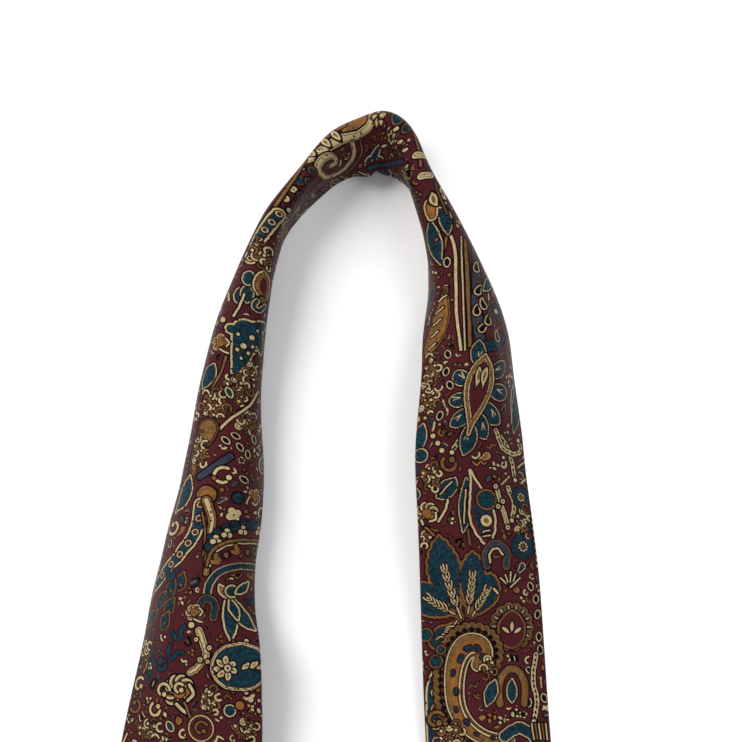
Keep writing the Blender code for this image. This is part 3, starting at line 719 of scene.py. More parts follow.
def trefoil(at, radius):
    for angle in (0, 2.1, 4.2):
        disc(at, *(bearing(angle) * radius * 1.1), radius, "dark 0.8 cream 0")


def four_petal(at, radius=2.6):
    angles = np.array([0.5, 2.07, 3.64, 5.21])
    ink(at, spots(oval(angles, radius * 1.25, radius * 1.25), radius), "dark 0.9 cream 0")


def arches(at):
    """Nested arches: teal wave, cream line, ochre and cream bits, inner teal arch."""
    def arc(share):
        r = 22.0 * share
        return oval(np.radians(np.linspace(200, -20, 16)), r, r * 0.86)

    beads(at, arc(1.30), 9.0, 4.4, "dark 0.7 teal 0", steps=2)
    for p in arc(1.17)[1:-1:3]:
        trefoil(At(*at(p)[0], zone=at.zone, up=1), 1.9)
    stroke(at, arc(1.0), 1.5, "gold", steps=2)
    stroke(at, arc(0.95), 0.7, dark=0.6, steps=2)
    for i, p in enumerate(arc(0.72)[2:-2:3]):
        petal(at, p - (0, 3.2), p + (0, 3.2), 1.9,
              layers=f"dark 0.7 {'orange' if i % 2 else 'cream'} 0")
    stroke(at, arc(0.50), 2.2, "teal", dark=2.0, steps=2)
    stroke(at, arc(0.58), 0.8, dark=0.0, steps=2)


def great_drop(at):
    """A large round paisley in teal with a beaded edge and a small orchid inside."""
    ink(at, [drop_shape(46, 26, 0.75, 12)], "dark 3.2 bead 2.3 dark 0 teal -0.6")
    disc(at, 0, 0, 3.4, "dark 2.4 cream 1.6 dark 0.4 teal 0")
    for turn, length in ((75, 17), (105, 15), (215, 14), (325, 14), (20, 12), (165, 12)):
        e = oval(math.radians(turn), 1.0, 1.0)
        petal(at, e * 5.5, e * length, 2.7, 0.6, layers="dark 0.9 cream 0 gold -1.6")


def dotted_triangle(at):
    """A three-cornered teal paisley with cream dots."""
    top = smooth([(-15, 18, 3), (0, 13, 9), (13, 16, 5)])
    ink(at, [(top[:, :2], top[:, 2]),
             (smooth([(-2, 10), (-4, -8), (-12, -24)]), np.linspace(13, 3, 9)),
             (smooth([(8, 10), (14, -2)]), np.linspace(9, 4, 5))],
        "dark 3 bead 2 dark 0.2 teal -0.3")
    for x, y, radius in ((4, 8, 2.0), (-5, 1, 2.4), (-11, -3, 1.5), (6, 0, 1.4), (0, -8, 1.8),
                         (-9, -14, 1.2), (12, 12, 1.2)):
        disc(at, x, y, radius, "dark 0.8 cream 0")


def add_halos(first, wide):
    """Leave plain ground round everything painted since PAINTED[first]."""
    halos = []
    for zone, low, high, shapes, layers in PAINTED[first:]:
        rim = wide * PEN * min(1.0, 0.25 + float(max(high - low)) / 12.0)
        outermost = max(grow for _, grow in layers)
        halos.append((zone, low - rim, high + rim, shapes, [("ground", outermost + rim)]))
    PAINTED[first:first] = halos


def sprig(at, random, kind, tone, fill):
    """One small figure of the filling between the large motifs."""
    if kind == 0:       # curl with a knob
        angles = np.linspace(0, random.uniform(3.6, 5.2), 8)
        reach = random.uniform(3.4, 5.0) * (1 - 0.11 * angles)
        points = oval(angles, reach, reach)
        stroke(at, points, random.uniform(1.0, 1.5), tone, steps=2)
        disc(at, *points[-1], 1.4, f"dark 0.6 {tone} 0")
    elif kind == 1:     # outlined leaf
        petal(at, (-5.5, -1), (5.5, 1), 2.9, 1.2,
              layers=f"dark 1.9 {tone} 1.1 dark 0.1 {fill} -0.3")
    elif kind == 2:
        drop(at, random.uniform(8, 11), 2.7, random.choice([-0.6, 0.6]), fill, tone, 1.1)
    elif kind == 3:     # three dots
        for x, y in ((-2.6, -1.4), (2.4, -1.8), (0, 2.6)):
            disc(at, x, y, 1.7, f"dark 0.9 {tone} 0")
    elif kind == 4:     # five-petalled flower
        for x, y in oval(np.linspace(0, 2 * math.pi, 6)[:-1], 3.0, 3.0):
            disc(at, x, y, 2.0, f"dark 0.8 {tone} 0")
        disc(at, 0, 0, 1.7, f"dark 0.7 {fill} 0")
    elif kind == 5:     # wavy line
        stroke(at, [(-7, -2), (-3, 2.4), (1, -1.6), (4, 1.8), (7, 0)], 1.25, tone)
    elif kind == 6:     # leafy twig
        stroke(at, [(-7, -2), (0, 0.8), (7, 0)], 0.95, tone, dark=0.7)
        for x, side in ((-3.5, 1), (0, -1), (3.5, 1)):
            petal(at, (x, side * 0.5), (x + 3.2, side * 5.0), 1.7, layers=f"dark 0.9 {tone} 0")
    elif kind == 7:     # two nested arcs
        for r, arc_tone in ((2.2, tone), (4.6, "gold")):
            stroke(at, oval(np.linspace(0.2, 2.9, 6), r, r) - (0, 2), 1.0, arc_tone, steps=2)
    else:               # leaf with a vein
        petal(at, (-4.5, 0), (4.5, 0), 3.4, layers=f"dark 1.2 {fill} 0")
        stroke(at, [(-2.6, 0), (2.6, 0.4)], 0.8, tone, dark=0.0, steps=2)


TONES = ("gold", "cream", "gold", "cream", "brown", "cream", "orange", "bead")
FILLS = ("dark", "teal", "dark", "teal", "slate", "orange")
SPRIG_KINDS = (0, 0, 1, 2, 3, 4, 5, 6, 6, 7, 8, 8)


def filling(zone, s0, s1, across0, across1, random_seed, gap=3.5):
    """Small scrolls, leaves and beads that fill the ground between the large motifs."""
    random = np.random.RandomState(random_seed)
    for i in range(int((s1 - s0) / gap) + 1):
        for j in range(int((across1 - across0) / gap) + 1):
            s = s0 + (i + random.uniform(-0.25, 0.25)) * gap
            x = across0 + (j + 0.5 * (i % 2) + random.uniform(-0.25, 0.25)) * gap
            turn = (70 * math.sin(s / 17.0 + x / 23.0) + 55 * math.cos(x / 11.0 - s / 31.0)
                    + random.uniform(-40, 40))
            tone = TONES[random.randint(8)]
            fill = FILLS[random.randint(6)]
            kind = SPRIG_KINDS[random.randint(12)]
            if random.rand() < 0.93:
                size = random.uniform(0.72, 1.0)
                mirror = random.rand() < 0.5
                sprig(At(x, s, turn, size, mirror, zone, up=1), random, kind, tone, fill)


# ------------------------------------------------ the print over the fabric
# One repeat of the cloth: motif, x and y (mm), turn (degrees), size.
REPEAT_MOTIFS = [
    (partial(stroke, points=[(-60, -40), (-30, -8), (4, 6), (40, 30), (70, 74)],
             radius=1.2, tone="gold"), -18, 8),
    (partial(stroke, points=[(-10, -60), (8, -20), (-6, 20), (6, 60)], radius=1.1), 34, 0),
    (partial(lace, rx=22, ry=16, count=20, random_seed=3), -30, -12),
    (partial(lace, rx=17, ry=22, count=18, random_seed=5), 26, 22),
    (partial(lace, rx=20, ry=13, count=16, random_seed=7), 4, -46),
    (partial(ringed_band, points=[(-46, -30), (-20, 8), (14, 30), (46, 40)]), -25, 40, -18),
    (curl_paisley, -14, -18, 10, 1.05), (oak_leaf, -4, 10, 8, 0.95),
    (great_flower, 24, -16, -22), (great_drop, -30, 26, 30), (medallion, 10, 36),
    (arches, 34, 42, -25), (dotted_triangle, 36, 6, 20, 1.1),
    (partial(long_drop, length=58, radius=9), 8, -40, 18),
    (partial(long_drop, length=48, radius=8), -36, -36, -30),
    (carnation, -18, -42, 10), (carnation, 38, -36, 160), (carnation, -38, 8, 60),
    (partial(rosette, radius=7, count=8), 18, 14), (partial(rosette, radius=6, count=7), -8, 44),
    (partial(rosette, radius=6, count=7), -28, -50), (spray, 0, -30, -35),
    (blossom, -16, 46, 20), (blossom, 30, -50, 190),
]
REPEAT_MOTIFS += [(partial(drop, length=8, radius=2.4, curl=0.5), *where) for where in (
    (-8, 30, 20), (-2, 27, 60), (16, 26, -30), (20, 30, 10), (-22, 6, 80), (-26, 0, 40),
    (14, -2, -20), (36, -8, 100), (30, -26, 30), (-10, -34, -40), (-34, -24, 0), (22, 44, 70),
    (-40, 44, 15), (0, 50, -15), (41, 24, 35), (12, -24, 50), (-22, -30, 120))]
REPEAT_MOTIFS += [(partial(hook, size=7.5, radius=1.3), *where) for where in (
    (-40, 20, 0), (14, 48, 90), (-2, -6, 180), (40, -22, 200), (-16, 16, 120), (28, 33, 300),
    (-44, -44, 40))]
REPEAT_MOTIFS += [(partial(squiggle, fill=fill), *where) for fill, *where in (
    ("teal", -12, -54, 0), ("gold", 20, -40, 60), ("brown", 4, 20, 30), ("teal", -40, -8, 90),
    ("gold", 44, 52, 15), ("brown", -24, 52, 70), ("gold", 30, 10, 140), ("teal", -6, -22, 200))]
REPEAT_MOTIFS += [(four_petal, *where) for where in (
    (-20, -8), (10, 6), (32, -44), (-44, 30), (2, 38), (44, 14), (-32, -30))]
MIRRORED = (curl_paisley, oak_leaf, great_flower)   # turned over in every other repeat
REPEAT_ACROSS, REPEAT_ALONG = 84.0, 104.0


def repeat(zone, s_from, s_to, x_from, x_to, up, s0, x0):
    """Half-drop repeat of the large motifs over a stretch of the strip (mm)."""
    margin = 3 if zone == 0 else 18
    for i in range(int((x_from - x0) / REPEAT_ACROSS) - 2, int((x_to - x0) / REPEAT_ACROSS) + 3):
        for j in range(int((s_from - s0) / REPEAT_ALONG) - 2, int((s_to - s0) / REPEAT_ALONG) + 3):
            centre_x = x0 + i * REPEAT_ACROSS
            centre_s = s0 + j * REPEAT_ALONG + (REPEAT_ALONG / 2 if i % 2 else 0)
            for motif, dx, dy, *turn_size in REPEAT_MOTIFS:
                x, s = centre_x - up * dx, centre_s + up * dy
                if x_from - margin < x < x_to + margin and s_from - 18 < s < s_to + 18:
                    mirror = motif in MIRRORED and bool((i + j) % 2)
                    motif(At(x, s, *turn_size, mirror=mirror, zone=zone, up=up))


F0, T0, FRONT_END, TAIL_END = S_F0 / MM, S_T0 / MM, S_FRONT_END / MM, S_TAIL_END / MM
filling(-1, FRONT_END - 2, F0 + 22, -96, 96, 1, gap=3.9)
filling(1, T0 - 26, TAIL_END + 2, -50, 50, 2, gap=3.9)
filling(0, F0 - 45, -1, -41, 41, 3)
filling(0, 1, T0 + 45, -41, 41, 4)
repeats_start = len(PAINTED)
for row in ((-1, FRONT_END, F0 + 22, -100, 100, 1, -420, 14),
            (1, T0 - 26, TAIL_END, -52, 52, -1, 380, -12),
            (0, F0 - 45, -2, -42, -17, 1, -60, -58),
            (0, F0 - 45, -2, 17, 42, 1, -130, 56),
            (0, 2, T0 + 45, -42, -17, -1, 110, -52),
            (0, 2, T0 + 45, 17, 42, -1, 60, 50)):
    repeat(*row)
add_halos(repeats_start, 1.6)
face_start = len(PAINTED)


# The helpers below take places on the aim plane (mm).
def strokes(*rows, dark=0.9, steps=4):
    """Rows: radius, ink, then the points."""
    for radius, tone, *points in rows:
        stroke(FACE, points, radius, tone, dark, steps)


def band(layers, radius, *points, steps=4):
    ink(FACE, [(smooth(points, steps), radius)], layers)


def leaves(layers, *rows):
    """Rows: x and y of the foot, x and y of the tip, radius, then bend (mm) and belly."""
    for x0, y0, x1, y1, *form in rows:
        ink(FACE, [petal_shape((x0, y0), (x1, y1), *form)], layers)


def dots(layers, *rows):
    """Rows: x, y, radius."""
    for x, y, radius in rows:
        disc(FACE, x, y, radius, layers)


def place(motif, *rows, **looks):
    """Rows: x, y, turn, size."""
    for row in rows:
        motif(At(*row), **looks)


def tendril(radius, *points):
    """A beaded cream stem with a knob at its end."""
    band("dark 1.9 cream 1 dark -0.5 cream -0.9", radius, *points, steps=5)
    beads(FACE, points, 1.6, 0.75, "dark 0", steps=5)
    dots("dark 1 cream 0", (*points[-1], 2.2))


TEAL_LEAF = "dark 2.4 cream 1.4 dark 0.3 teal 0"
LILY = "dark 2.8 cream 1.9 dark 0.2 teal -0.2"

# --- tail leg, top
strokes((1.6, "cream", (23.04, 45.76), (25.6, 38.72), (25.92, 25.92), (26.24, 16.32), (27.52, 6.72)),
        (1.2, "gold", (21.12, 50.88), (23.04, 45.76), (22.08, 38.72), (19.84, 33.6)))
strokes((1.9, "gold", (28.8, 41.92), (29.76, 25.92), (30.4, 8.0)), dark=1.2)
strokes((0.9, "cream", (27.52, 43.2), (28.16, 22.72), (28.8, 6.72)))
band("dark 1 slate 0", 4.6, (31.68, 43.2), (32.64, 29.12), (32.64, 16.32), (34.24, 8.0))
beads(FACE, [(31.68, 41.92), (32.64, 29.12), (32.96, 13.12)], 2.56, 1.1, "dark 0.6 gold 0")
band("dark 1 teal 0", 5.0, (34.24, 8.0), (38.08, 8.32), (40.64, 10.56), steps=3)
strokes((1.1, "cream", (35.2, 34.88), (35.84, 29.12), (36.48, 22.72)))
leaves(TEAL_LEAF, (17.6, 48.32, 21.12, 34.24, 5.6, -0.64), (21.12, 53.12, 23.36, 43.84, 4.6, 0.48))
curl = smooth([(18.24, 49.6, 3.0), (17.92, 52.8, 4.6), (19.52, 55.36, 4.4), (21.12, 53.76, 3.4)])
ink(FACE, [(curl[:, :2], curl[:, 2])], "dark 2.4 bead 1.6 dark 0 orange -0.8")
leaves("dark 1.1 cream 0 gold -1.7",
       (18.24, 57.28, 19.84, 52.8, 3.2, -0.32), (21.12, 59.2, 22.72, 54.72, 3.2, -0.32))
strokes((1.0, "brown", (15.36, 73.92), (17.6, 67.52), (19.52, 59.2), (23.04, 50.24)))
dots("dark 0.8 teal 0", (20.16, 61.12, 2.4), (16.96, 63.04, 2.4), (24.0, 48.0, 2.4))
place(seed, (23.04, 34.88, 8), (22.72, 25.92, 0), (22.08, 18.88, -6), (21.76, 11.52, 4),
      length=8, radius=2.1)
dots("dark 0.8 gold 0", (20.16, 30.08, 1.7), (18.88, 25.28, 1.7), (23.68, 30.72, 1.7),
     (19.52, 41.92, 1.7), (24.64, 22.72, 1.7))
leaves("dark 2 gold 1.2 dark 0 orange -0.8 gold -3.2",
       (15.68, 2.88, 22.72, 26.56, 9.0, -0.96, 0.45))
for k in range(5):
    strokes((1.0, "cream", (20.16 - 0.768 * k, 22.08 - 3.84 * k),
             (22.72 - 0.8448 * k, 24.32 - 3.84 * k)))
leaves("dark 2.2 gold 1.5 dark 0.2 teal -0.4", (16.32, 16.96, 18.88, 27.84, 5.2))
lace(At(17.92, -1.28), 9, 26, 16, 11)
place(drop, (32.512, 32.64, 10), (32.96, 25.28, -10), (32.512, 18.88, 14), (34.144, 13.44, -20),
      (39.264, 10.56, 30), (34.88, 20.8, 40), (36.16, 15.68, 10), length=8, radius=2.6, curl=0.6)
leaves(TEAL_LEAF, (34.88, 25.92, 38.08, 29.76, 4.2))
for turn in range(0, 360, 60):
    petal(At(38.72, 18.88, turn), (0, 2), (0, 11), 3.4, layers="dark 1.8 gold 1.2 dark 0.2 teal -0.2")
dots("dark 0.6 cream 0", (38.72, 18.88, 2.6))
lace(At(39.36, 25.28), 7, 13, 10, 14)

# --- tail leg, great flower
tendril(1.3, (39.04, -19.52), (42.24, -24.0), (43.84, -29.12), (44.8, -34.88))
tendril(1.3, (38.72, -18.88), (40.96, -24.64), (44.48, -26.56), (46.72, -25.28), (45.76, -22.4))
tendril(1.3, (29.12, -18.24), (26.56, -22.72), (24.64, -25.92))
leaves(TEAL_LEAF, (44.48, -19.52, 44.8, -1.6, 8.0, -0.64))
strokes((0.9, "cream", (43.84, -16.96), (43.52, -8.64), (44.16, -4.16)))
lace(At(17.28, -9.28), 10, 20, 18, 15)
great_flower(At(33.088, -7.04))
place(seed, (23.36, 5.44, 20), (20.704, -14.4, -10), (22.72, -0.32, 0), (24.0, -4.48, 30),
      length=7, radius=2.2)
leaves(TEAL_LEAF, (13.12, -25.92, 15.36, -16.96, 6.0))
dots("dark 2.4 cream 1.4 dark 0.2 teal -0.2", (14.56, -27.2, 6.0))
dots("dark 0.9 cream 0", (20.096, -23.04, 2.4), (18.56, -20.8, 2.4), (21.44, -25.28, 2.4))
hook(At(24.0, -29.76, 140), 8, 1.8, "gold")
leaves(TEAL_LEAF, (19.84, -40.32, 25.6, -34.24, 7.0, -0.64))
strokes((0.9, "cream", (20.8, -39.36), (24.64, -35.52)))
lace(At(17.92, -34.24), 9, 13, 12, 21)
strokes((1.8, "brown", (27.2, -37.44), (29.12, -46.08), (30.4, -55.68)))
leaves(TEAL_LEAF, (28.16, -51.52, 29.12, -34.24, 6.4, -0.64))
strokes((0.9, "cream", (28.48, -48.96), (28.8, -41.28), (29.12, -38.08)))

# --- tail leg, hanging drop and tendrils
leaves("dark 2.6 cream 1.6 dark -0.6 ground -1.2 teal -4.2",
       (30.4, -31.68, 36.16, -56.0, 12.0, 0.64, 0.62))
dots("dark 2.4 gold 1.6 dark 0 teal -0.8", (35.712, -41.28, 8.6))
dots("dark 1.4 cream 0.4 gold -2.6", (35.712, -48.0, 5.2))
strokes((0.9, "cream", (34.56, -51.52), (36.8, -50.88)),
        (0.9, "cream", (34.56, -53.12), (36.8, -52.48)))
band("dark 1.7 cream 0.9 dark -0.5 cream -1", 1.5,
     (38.72, -36.8), (40.0, -41.28), (41.28, -45.44), (42.56, -49.92))
dots("dark 1 cream 0 dark -1.5", (38.72, -36.8, 2.4), (40.96, -41.6, 2.4), (39.36, -43.2, 2.4),
     (42.56, -49.92, 2.4))
tendril(1.4, (42.56, -37.44), (44.48, -42.56), (43.84, -47.68))
rosette(At(46.72, -40.32), 7.5, 8)
rosette(At(47.36, -56.32), 9.0, 9)
lace(At(47.68, -48.32), 9, 17, 14, 22, ("cream", "teal", "cream", "gold"))
beads(FACE, [(49.92, -34.24), (50.24, -41.28), (50.88, -49.28), (51.84, -56.64), (52.16, -62.4)],
      1.984, 2.0, "dark 1 cream 0")
carnation(At(16.64, -45.44, -10), 6)
lace(At(16.96, -53.12), 8, 10, 9, 23, ("gold", "cream", "gold"))
strokes((1.3, "cream", (20.16, -48.32), (22.4, -44.48), (23.36, -41.28)),
        (1.4, "gold", (16.32, -50.24), (19.84, -53.44), (23.04, -54.08)))

# --- tail leg, oak leaf
ringed_band(FACE, [(19.84, -118.72), (19.52, -110.4), (19.52, -102.08), (20.8, -97.6)], 7.5, 5.12)
oak_leaf(At(28.352, -78.72))
band("dark 1.6 brown 0.8 slate -0.6", 3.0,
     (35.84, -62.4), (35.52, -57.92), (38.72, -55.04), (42.24, -57.6), (41.92, -62.4))
band("dark 1 cream 0", 1.0, (36.8, -61.44), (36.8, -58.24), (39.04, -56.64), (40.96, -58.88))
for k in range(-2, 3):
    strokes((0.9, "cream", (43.36, -69.44), (43.36 + 1.6 * k, -64.32 - 0.96 * abs(k))), steps=2)
strokes((1.3, "cream", (38.08, -69.76), (39.36, -71.04)))
place(seed, (49.792, -68.8, 20), (51.52, -72.864, 0), (52.096, -77.76, -10), (52.544, -85.12, 0),
      (52.8, -89.28, 10), (49.6, -96.0, 60), (49.184, -106.24, 0), (54.08, -104.512, 20),
      length=7, radius=2.1)

# --- tail leg, medallion and curling paisley
medallion(At(43.84, -81.856))
curl_paisley(At(32.0, -90.88))
dots("dark 2 gold 1.2 dark 0 teal -0.5",
     (16.32, -84.48, 5.5), (19.456, -93.12, 5.5), (21.12, -88.96, 3.6))
hook(At(19.52, -111.68, 30), 8, 1.8, "gold")
band("dark 1.6 brown 0.8 gold -0.2", 2.6, (40.0, -106.56), (39.68, -100.8), (41.92, -96.0),
     (45.76, -96.0), (48.0, -100.8), (47.68, -106.56))
leaves(TEAL_LEAF, (43.84, -105.92, 43.84, -98.88, 4.2), (35.84, -107.2, 38.4, -98.88, 5.2))
tendril(1.3, (51.52, -90.88), (50.56, -98.88), (51.84, -105.28), (50.88, -112.32))
band("dark 1.6 cream 0.8 dark -0.4 teal -0.9", 5.0,
     (41.6, -116.8), (45.76, -114.24), (49.6, -115.84), (52.16, -118.72))
for k in range(5):
    strokes((0.9, ("cream", "gold")[k % 2], (50.24 + 1.088 * k, -112.96),
             (50.88 + 1.088 * k, -118.08)), steps=2)
lace(At(24.64, -116.48), 12, 10, 12, 25)
lace(At(36.48, -95.04), 7, 9, 8, 26)

# --- arch
band("dark 1.4 orange 0 gold -3.4", [3, 4.5, 6, 6.6, 7, 7, 7, 6.6, 6, 5, 4, 3.4, 3],
     (-9.6, 76.8), (-7.36, 78.4), (-5.44, 79.68), (-2.88, 80.96))
band("dark 1.5 cream 0.6 dark -0.5 bead -0.9", 2.9, (-1.28, 82.56), (-0.96, 80.64),
     (-2.24, 77.76), (-5.76, 75.2), (-10.88, 74.08), (-16.32, 71.04), (-22.08, 67.2))
band("dark 1.4 cream 0.6 dark -0.4 bead -0.8", 2.3, (-7.36, 72.96), (-6.72, 69.12),
     (-8.96, 65.6), (-12.032, 63.04), (-16.0, 62.08), (-18.24, 64.96), (-16.32, 68.16),
     (-13.44, 68.8), (-12.48, 66.88), (-14.08, 65.6))
strokes((1.2, "gold", (-4.8, 73.92), (-4.16, 70.08), (-6.08, 66.24), (-9.28, 63.04)))
band("dark 1.4 gold 0.6 orange -1.2", 2.4,
     (-10.24, 79.04), (-14.4, 76.48), (-18.24, 73.6), (-24.0, 67.52), (-27.2, 63.04))
place(petal, (-12.48, 75.84, 60), (-15.68, 73.6, 50), (-20.48, 70.08, 55), (-24.0, 65.6, 50),
      (-8.96, 80.96, 70), p0=(-1, -5), p1=(1, 5), radius=3.2, bend=1,
      layers="dark 1.2 cream 0 gold -1.9")
for turn in range(0, 360, 72):
    petal(At(1.28, 81.28, turn), (0, 1), (0, 7), 2.6, layers="dark 1.2 gold 0.4 cream -0.8")
dots("dark 1.6 gold 0.8 teal -0.4", (7.04, 80.96, 5.0))
dots("dark 1.4 gold 0.6 teal -0.4", (9.92, 77.76, 3.6))
for turn in range(0, 360, 60):
    disc(At(5.12, 74.56, turn), 0, 4.8, 1.9, "dark 0.8 cream 0 gold -1.2")
dots("dark 0.8 teal 0", (5.12, 74.56, 2.0))
leaves("dark 0.8 cream 0", (1.92, 71.68, 3.84, 72.32, 1.6), (7.04, 72.96, 8.96, 73.6, 1.6),
       (5.76, 77.12, 7.68, 77.76, 1.6), (8.64, 70.4, 10.56, 71.04, 1.6))
band("dark 1 slate 0", 2.6, (-1.92, 64.96), (3.2, 65.92), (8.64, 66.88), steps=3)
strokes((1.2, "gold", (11.84, 77.76), (13.76, 72.0), (14.72, 65.6)))
place(ink, (14.72, 69.12, 12), (16.48, 62.56, 8), parts=[([(-3.4, 0), (3.4, 0)], 2.9)],
      layers="dark 1.3 cream 0.4 dark -1.3 bead -1.7")

# --- front leg, upper
dots("dark 1.2 cream 0 gold -2", (-28.8, 55.36, 3.4), (-26.112, 58.24, 3.0),
     (-31.68, 52.8, 2.6), (-27.52, 51.52, 2.2))
dots("dark 1.6 gold 0.7 dark -0.2 teal -0.6", (-24.64, 61.12, 4.0), (-20.96, 60.16, 3.6),
     (-24.0, 56.0, 3.0), (-19.84, 64.0, 3.0))
strokes((1.4, "gold", (-22.08, 67.52), (-25.28, 62.4), (-28.48, 57.92), (-32.32, 52.16),
         (-36.16, 46.4)))
lace(At(-29.44, 47.68), 9, 10, 9, 33)
ringed_band(FACE, [(-30.72, 50.24), (-34.24, 46.4), (-37.44, 41.92), (-40.0, 36.16)], 3.6, 2.88)
lace(At(-36.16, 37.12), 8, 14, 12, 34)
hook(At(-43.2, 34.88, 90), 7, 1.5, "gold")
leaves(TEAL_LEAF, (-42.24, 26.56, -44.16, 22.08, 4.6), (-40.96, 27.2, -40.96, 22.08, 4.4),
       (-40.96, 27.84, -40.0, 31.68, 4.2))
strokes((1.1, "cream", (-41.92, 24.64), (-43.2, 21.12), (-45.248, 17.6)))
leaves("dark 2.2 bead 1.5 dark 0 gold -0.7 ground -3.8", (-35.52, 22.08, -35.52, 31.68, 7.5))
dots("dark 1.2 gold 0", (-35.84, 22.4, 4.0))
band("dark 1.4 cream 0.6 teal -0.4", 2.0,
     (-35.2, 20.8), (-37.12, 19.2), (-38.72, 20.8), (-37.76, 22.4))
dots("dark 1 cream 0", (-48.768, 16.64, 2.8))
strokes((1.3, "cream", (-46.08, 32.96), (-47.04, 27.52), (-46.72, 22.72)),
        (1.0, "brown", (-44.48, 34.88), (-46.4, 29.12), (-48.96, 22.08)))

# --- front leg, dotted triangle and lace
ink(FACE, [(smooth([(-46.08, 13.44), (-40.64, 13.12), (-35.84, 14.08)]),
            [4, 4.5, 5, 5.5, 6, 6, 6, 5, 4]),
           (smooth([(-41.28, 12.48), (-42.24, 6.72), (-44.8, -0.32)]),
            [11, 11, 10.5, 10, 9, 8, 6, 4, 2.6]),
           (smooth([(-38.08, 12.48), (-36.8, 8.64), (-36.48, 6.08)]),
            [8, 8, 7, 6, 5.5, 5, 4, 3, 2.4])], "dark 2.6 bead 1.8 dark 0 teal -0.6")
dots("dark 0.8 cream 0", (-39.36, 10.56, 2.4), (-42.048, 8.096, 2.8), (-44.16, 6.88, 1.8),
     (-39.136, 7.84, 1.6), (-40.512, 5.76, 1.8), (-42.88, 4.16, 1.5), (-37.44, 12.8, 1.4),
     (-43.84, 11.84, 1.6))
carnation(At(-49.6, 8.96, 20, 0.8), 4)
leaves(TEAL_LEAF, (-55.04, -5.44, -51.52, 2.24, 6.0))
strokes((1.2, "gold", (-47.68, 4.8), (-49.28, -0.32), (-52.8, -6.72), (-54.08, -11.84)))
lace(At(-43.84, -5.44), 13, 14, 18, 35)
lace(At(-39.36, -0.32), 8, 10, 9, 36)
lace(At(-51.52, -10.88), 13, 17, 18, 37)
lace(At(-40.96, -15.68), 11, 15, 14, 38)
seed(At(-46.72, -6.72, 15), 9, 2.4, "teal")
strokes((1.4, "cream", (-37.44, -6.72), (-40.0, -10.88), (-45.76, -15.04), (-50.88, -19.52)))
band("dark 1.6 brown 0.6 dark -0.6 gold -1.4", [9, 9, 8, 8, 7, 6, 5, 4, 3],
     (-53.44, -18.24), (-56.96, -25.92), (-58.24, -32.96))
lace(At(-56.0, -25.28), 8, 18, 14, 39)
band("dark 1.4 slate 0", 3.0, (-46.4, -27.2), (-51.52, -30.72), (-56.0, -33.92))
hook(At(-48.64, -33.6, 60), 9, 1.7)
place(seed, (-43.2, -24.32, 30), (-40.64, -26.88, 0), (-44.48, -20.8, 60), (-38.72, -22.08, 10),
      (-47.68, -22.08, 40), length=7, radius=2.0)
leaves("dark 2.4 bead 1.6 dark 0 teal -0.6", (-63.68, -45.12, -59.2, -33.6, 7.6, -0.64))
dots("dark 1.6 gold 0.2 orange -3", (-54.08, -39.52, 8.6))
dots("dark 1 cream 0", (-54.72, -42.56, 3.0))
strokes((1.3, "gold", (-54.08, -41.28), (-53.12, -47.04), (-52.8, -53.12)))
dots("dark 1.4 teal 0", (-43.84, -40.448, 5.0))
four_petal(At(-45.152, -45.952), 3.4)
carnation(At(-38.4, -40.32, -60, 0.8), 4)
seed(At(-41.92, -34.88, 60), 8, 2.2)
hook(At(-64.32, -49.92, 200), 7.5, 1.6)
dots("dark 0.8 gold 0", (-48.96, -38.08, 2.0), (-51.52, -34.24, 2.0), (-41.28, -45.12, 2.0),
     (-37.44, -34.24, 2.0))

# --- front leg, ringed band and arches
ringed_band(FACE, [(-56.0, -42.88), (-56.64, -48.32), (-58.24, -52.8), (-61.76, -57.6),
                   (-65.92, -62.72), (-69.12, -66.88), (-72.96, -72.64)], 4.7, 4.16)
band("dark 1.6 gold 0.6 dark -1 bead -1.4", np.linspace(3.4, 1.8, 16),
     (-54.08, -41.28), (-52.16, -47.68), (-53.12, -55.68), (-54.08, -64.96), steps=5)
strokes((0.9, "gold", (-55.36, -45.12), (-54.4, -52.16), (-55.04, -59.2)))
band("dark 1.2 teal 0", 3.6,
     (-53.12, -56.64), (-51.84, -54.08), (-48.96, -51.36), (-41.92, -49.28), (-34.88, -50.24))
beads(FACE, [(-52.48, -53.44), (-48.96, -50.56), (-43.2, -48.64), (-36.16, -48.64)],
      2.72, 3.2, "dark 0.8 teal 0")
place(trefoil, (-50.88, -54.08), (-47.36, -52.0), (-42.24, -51.04), (-37.44, -51.52), radius=2.5)
strokes((1.7, "gold", (-53.76, -62.4), (-52.16, -57.6), (-47.68, -54.88), (-41.92, -54.08),
         (-34.88, -54.56)),
        (0.9, "cream", (-52.8, -62.72), (-51.2, -58.56), (-47.36, -56.0), (-41.92, -55.2),
         (-34.88, -55.68)))
squiggle(At(-50.56, -60.48, 70), 0.55, "gold")
rosette(At(-47.68, -58.88), 3.0, 5)
squiggle(At(-44.224, -57.28, 70), 0.55, "orange")
rosette(At(-40.768, -57.92), 3.0, 5)
squiggle(At(-37.76, -57.92, 70), 0.55, "gold")
band("dark 1.6 cream 1 dark -0.1 teal -0.6", 2.8,
     (-53.76, -72.0), (-53.12, -68.48), (-49.6, -64.16), (-43.2, -62.4), (-35.52, -63.36))

# --- front leg, lily on plain ground
leaves(LILY, (-47.68, -73.28, -46.08, -86.08, 5.6, 0.64),
       (-45.12, -73.28, -38.4, -82.88, 6.0, -0.96), (-46.4, -73.28, -43.84, -79.36, 3.6))
leaves("dark 1.4 cream 0.6 gold -1", (-47.68, -72.64, -49.92, -68.16, 3.4))
dots(LILY, (-45.76, -70.4, 5.0))
leaves(LILY, (-44.48, -71.04, -40.64, -67.84, 3.4, -0.32))

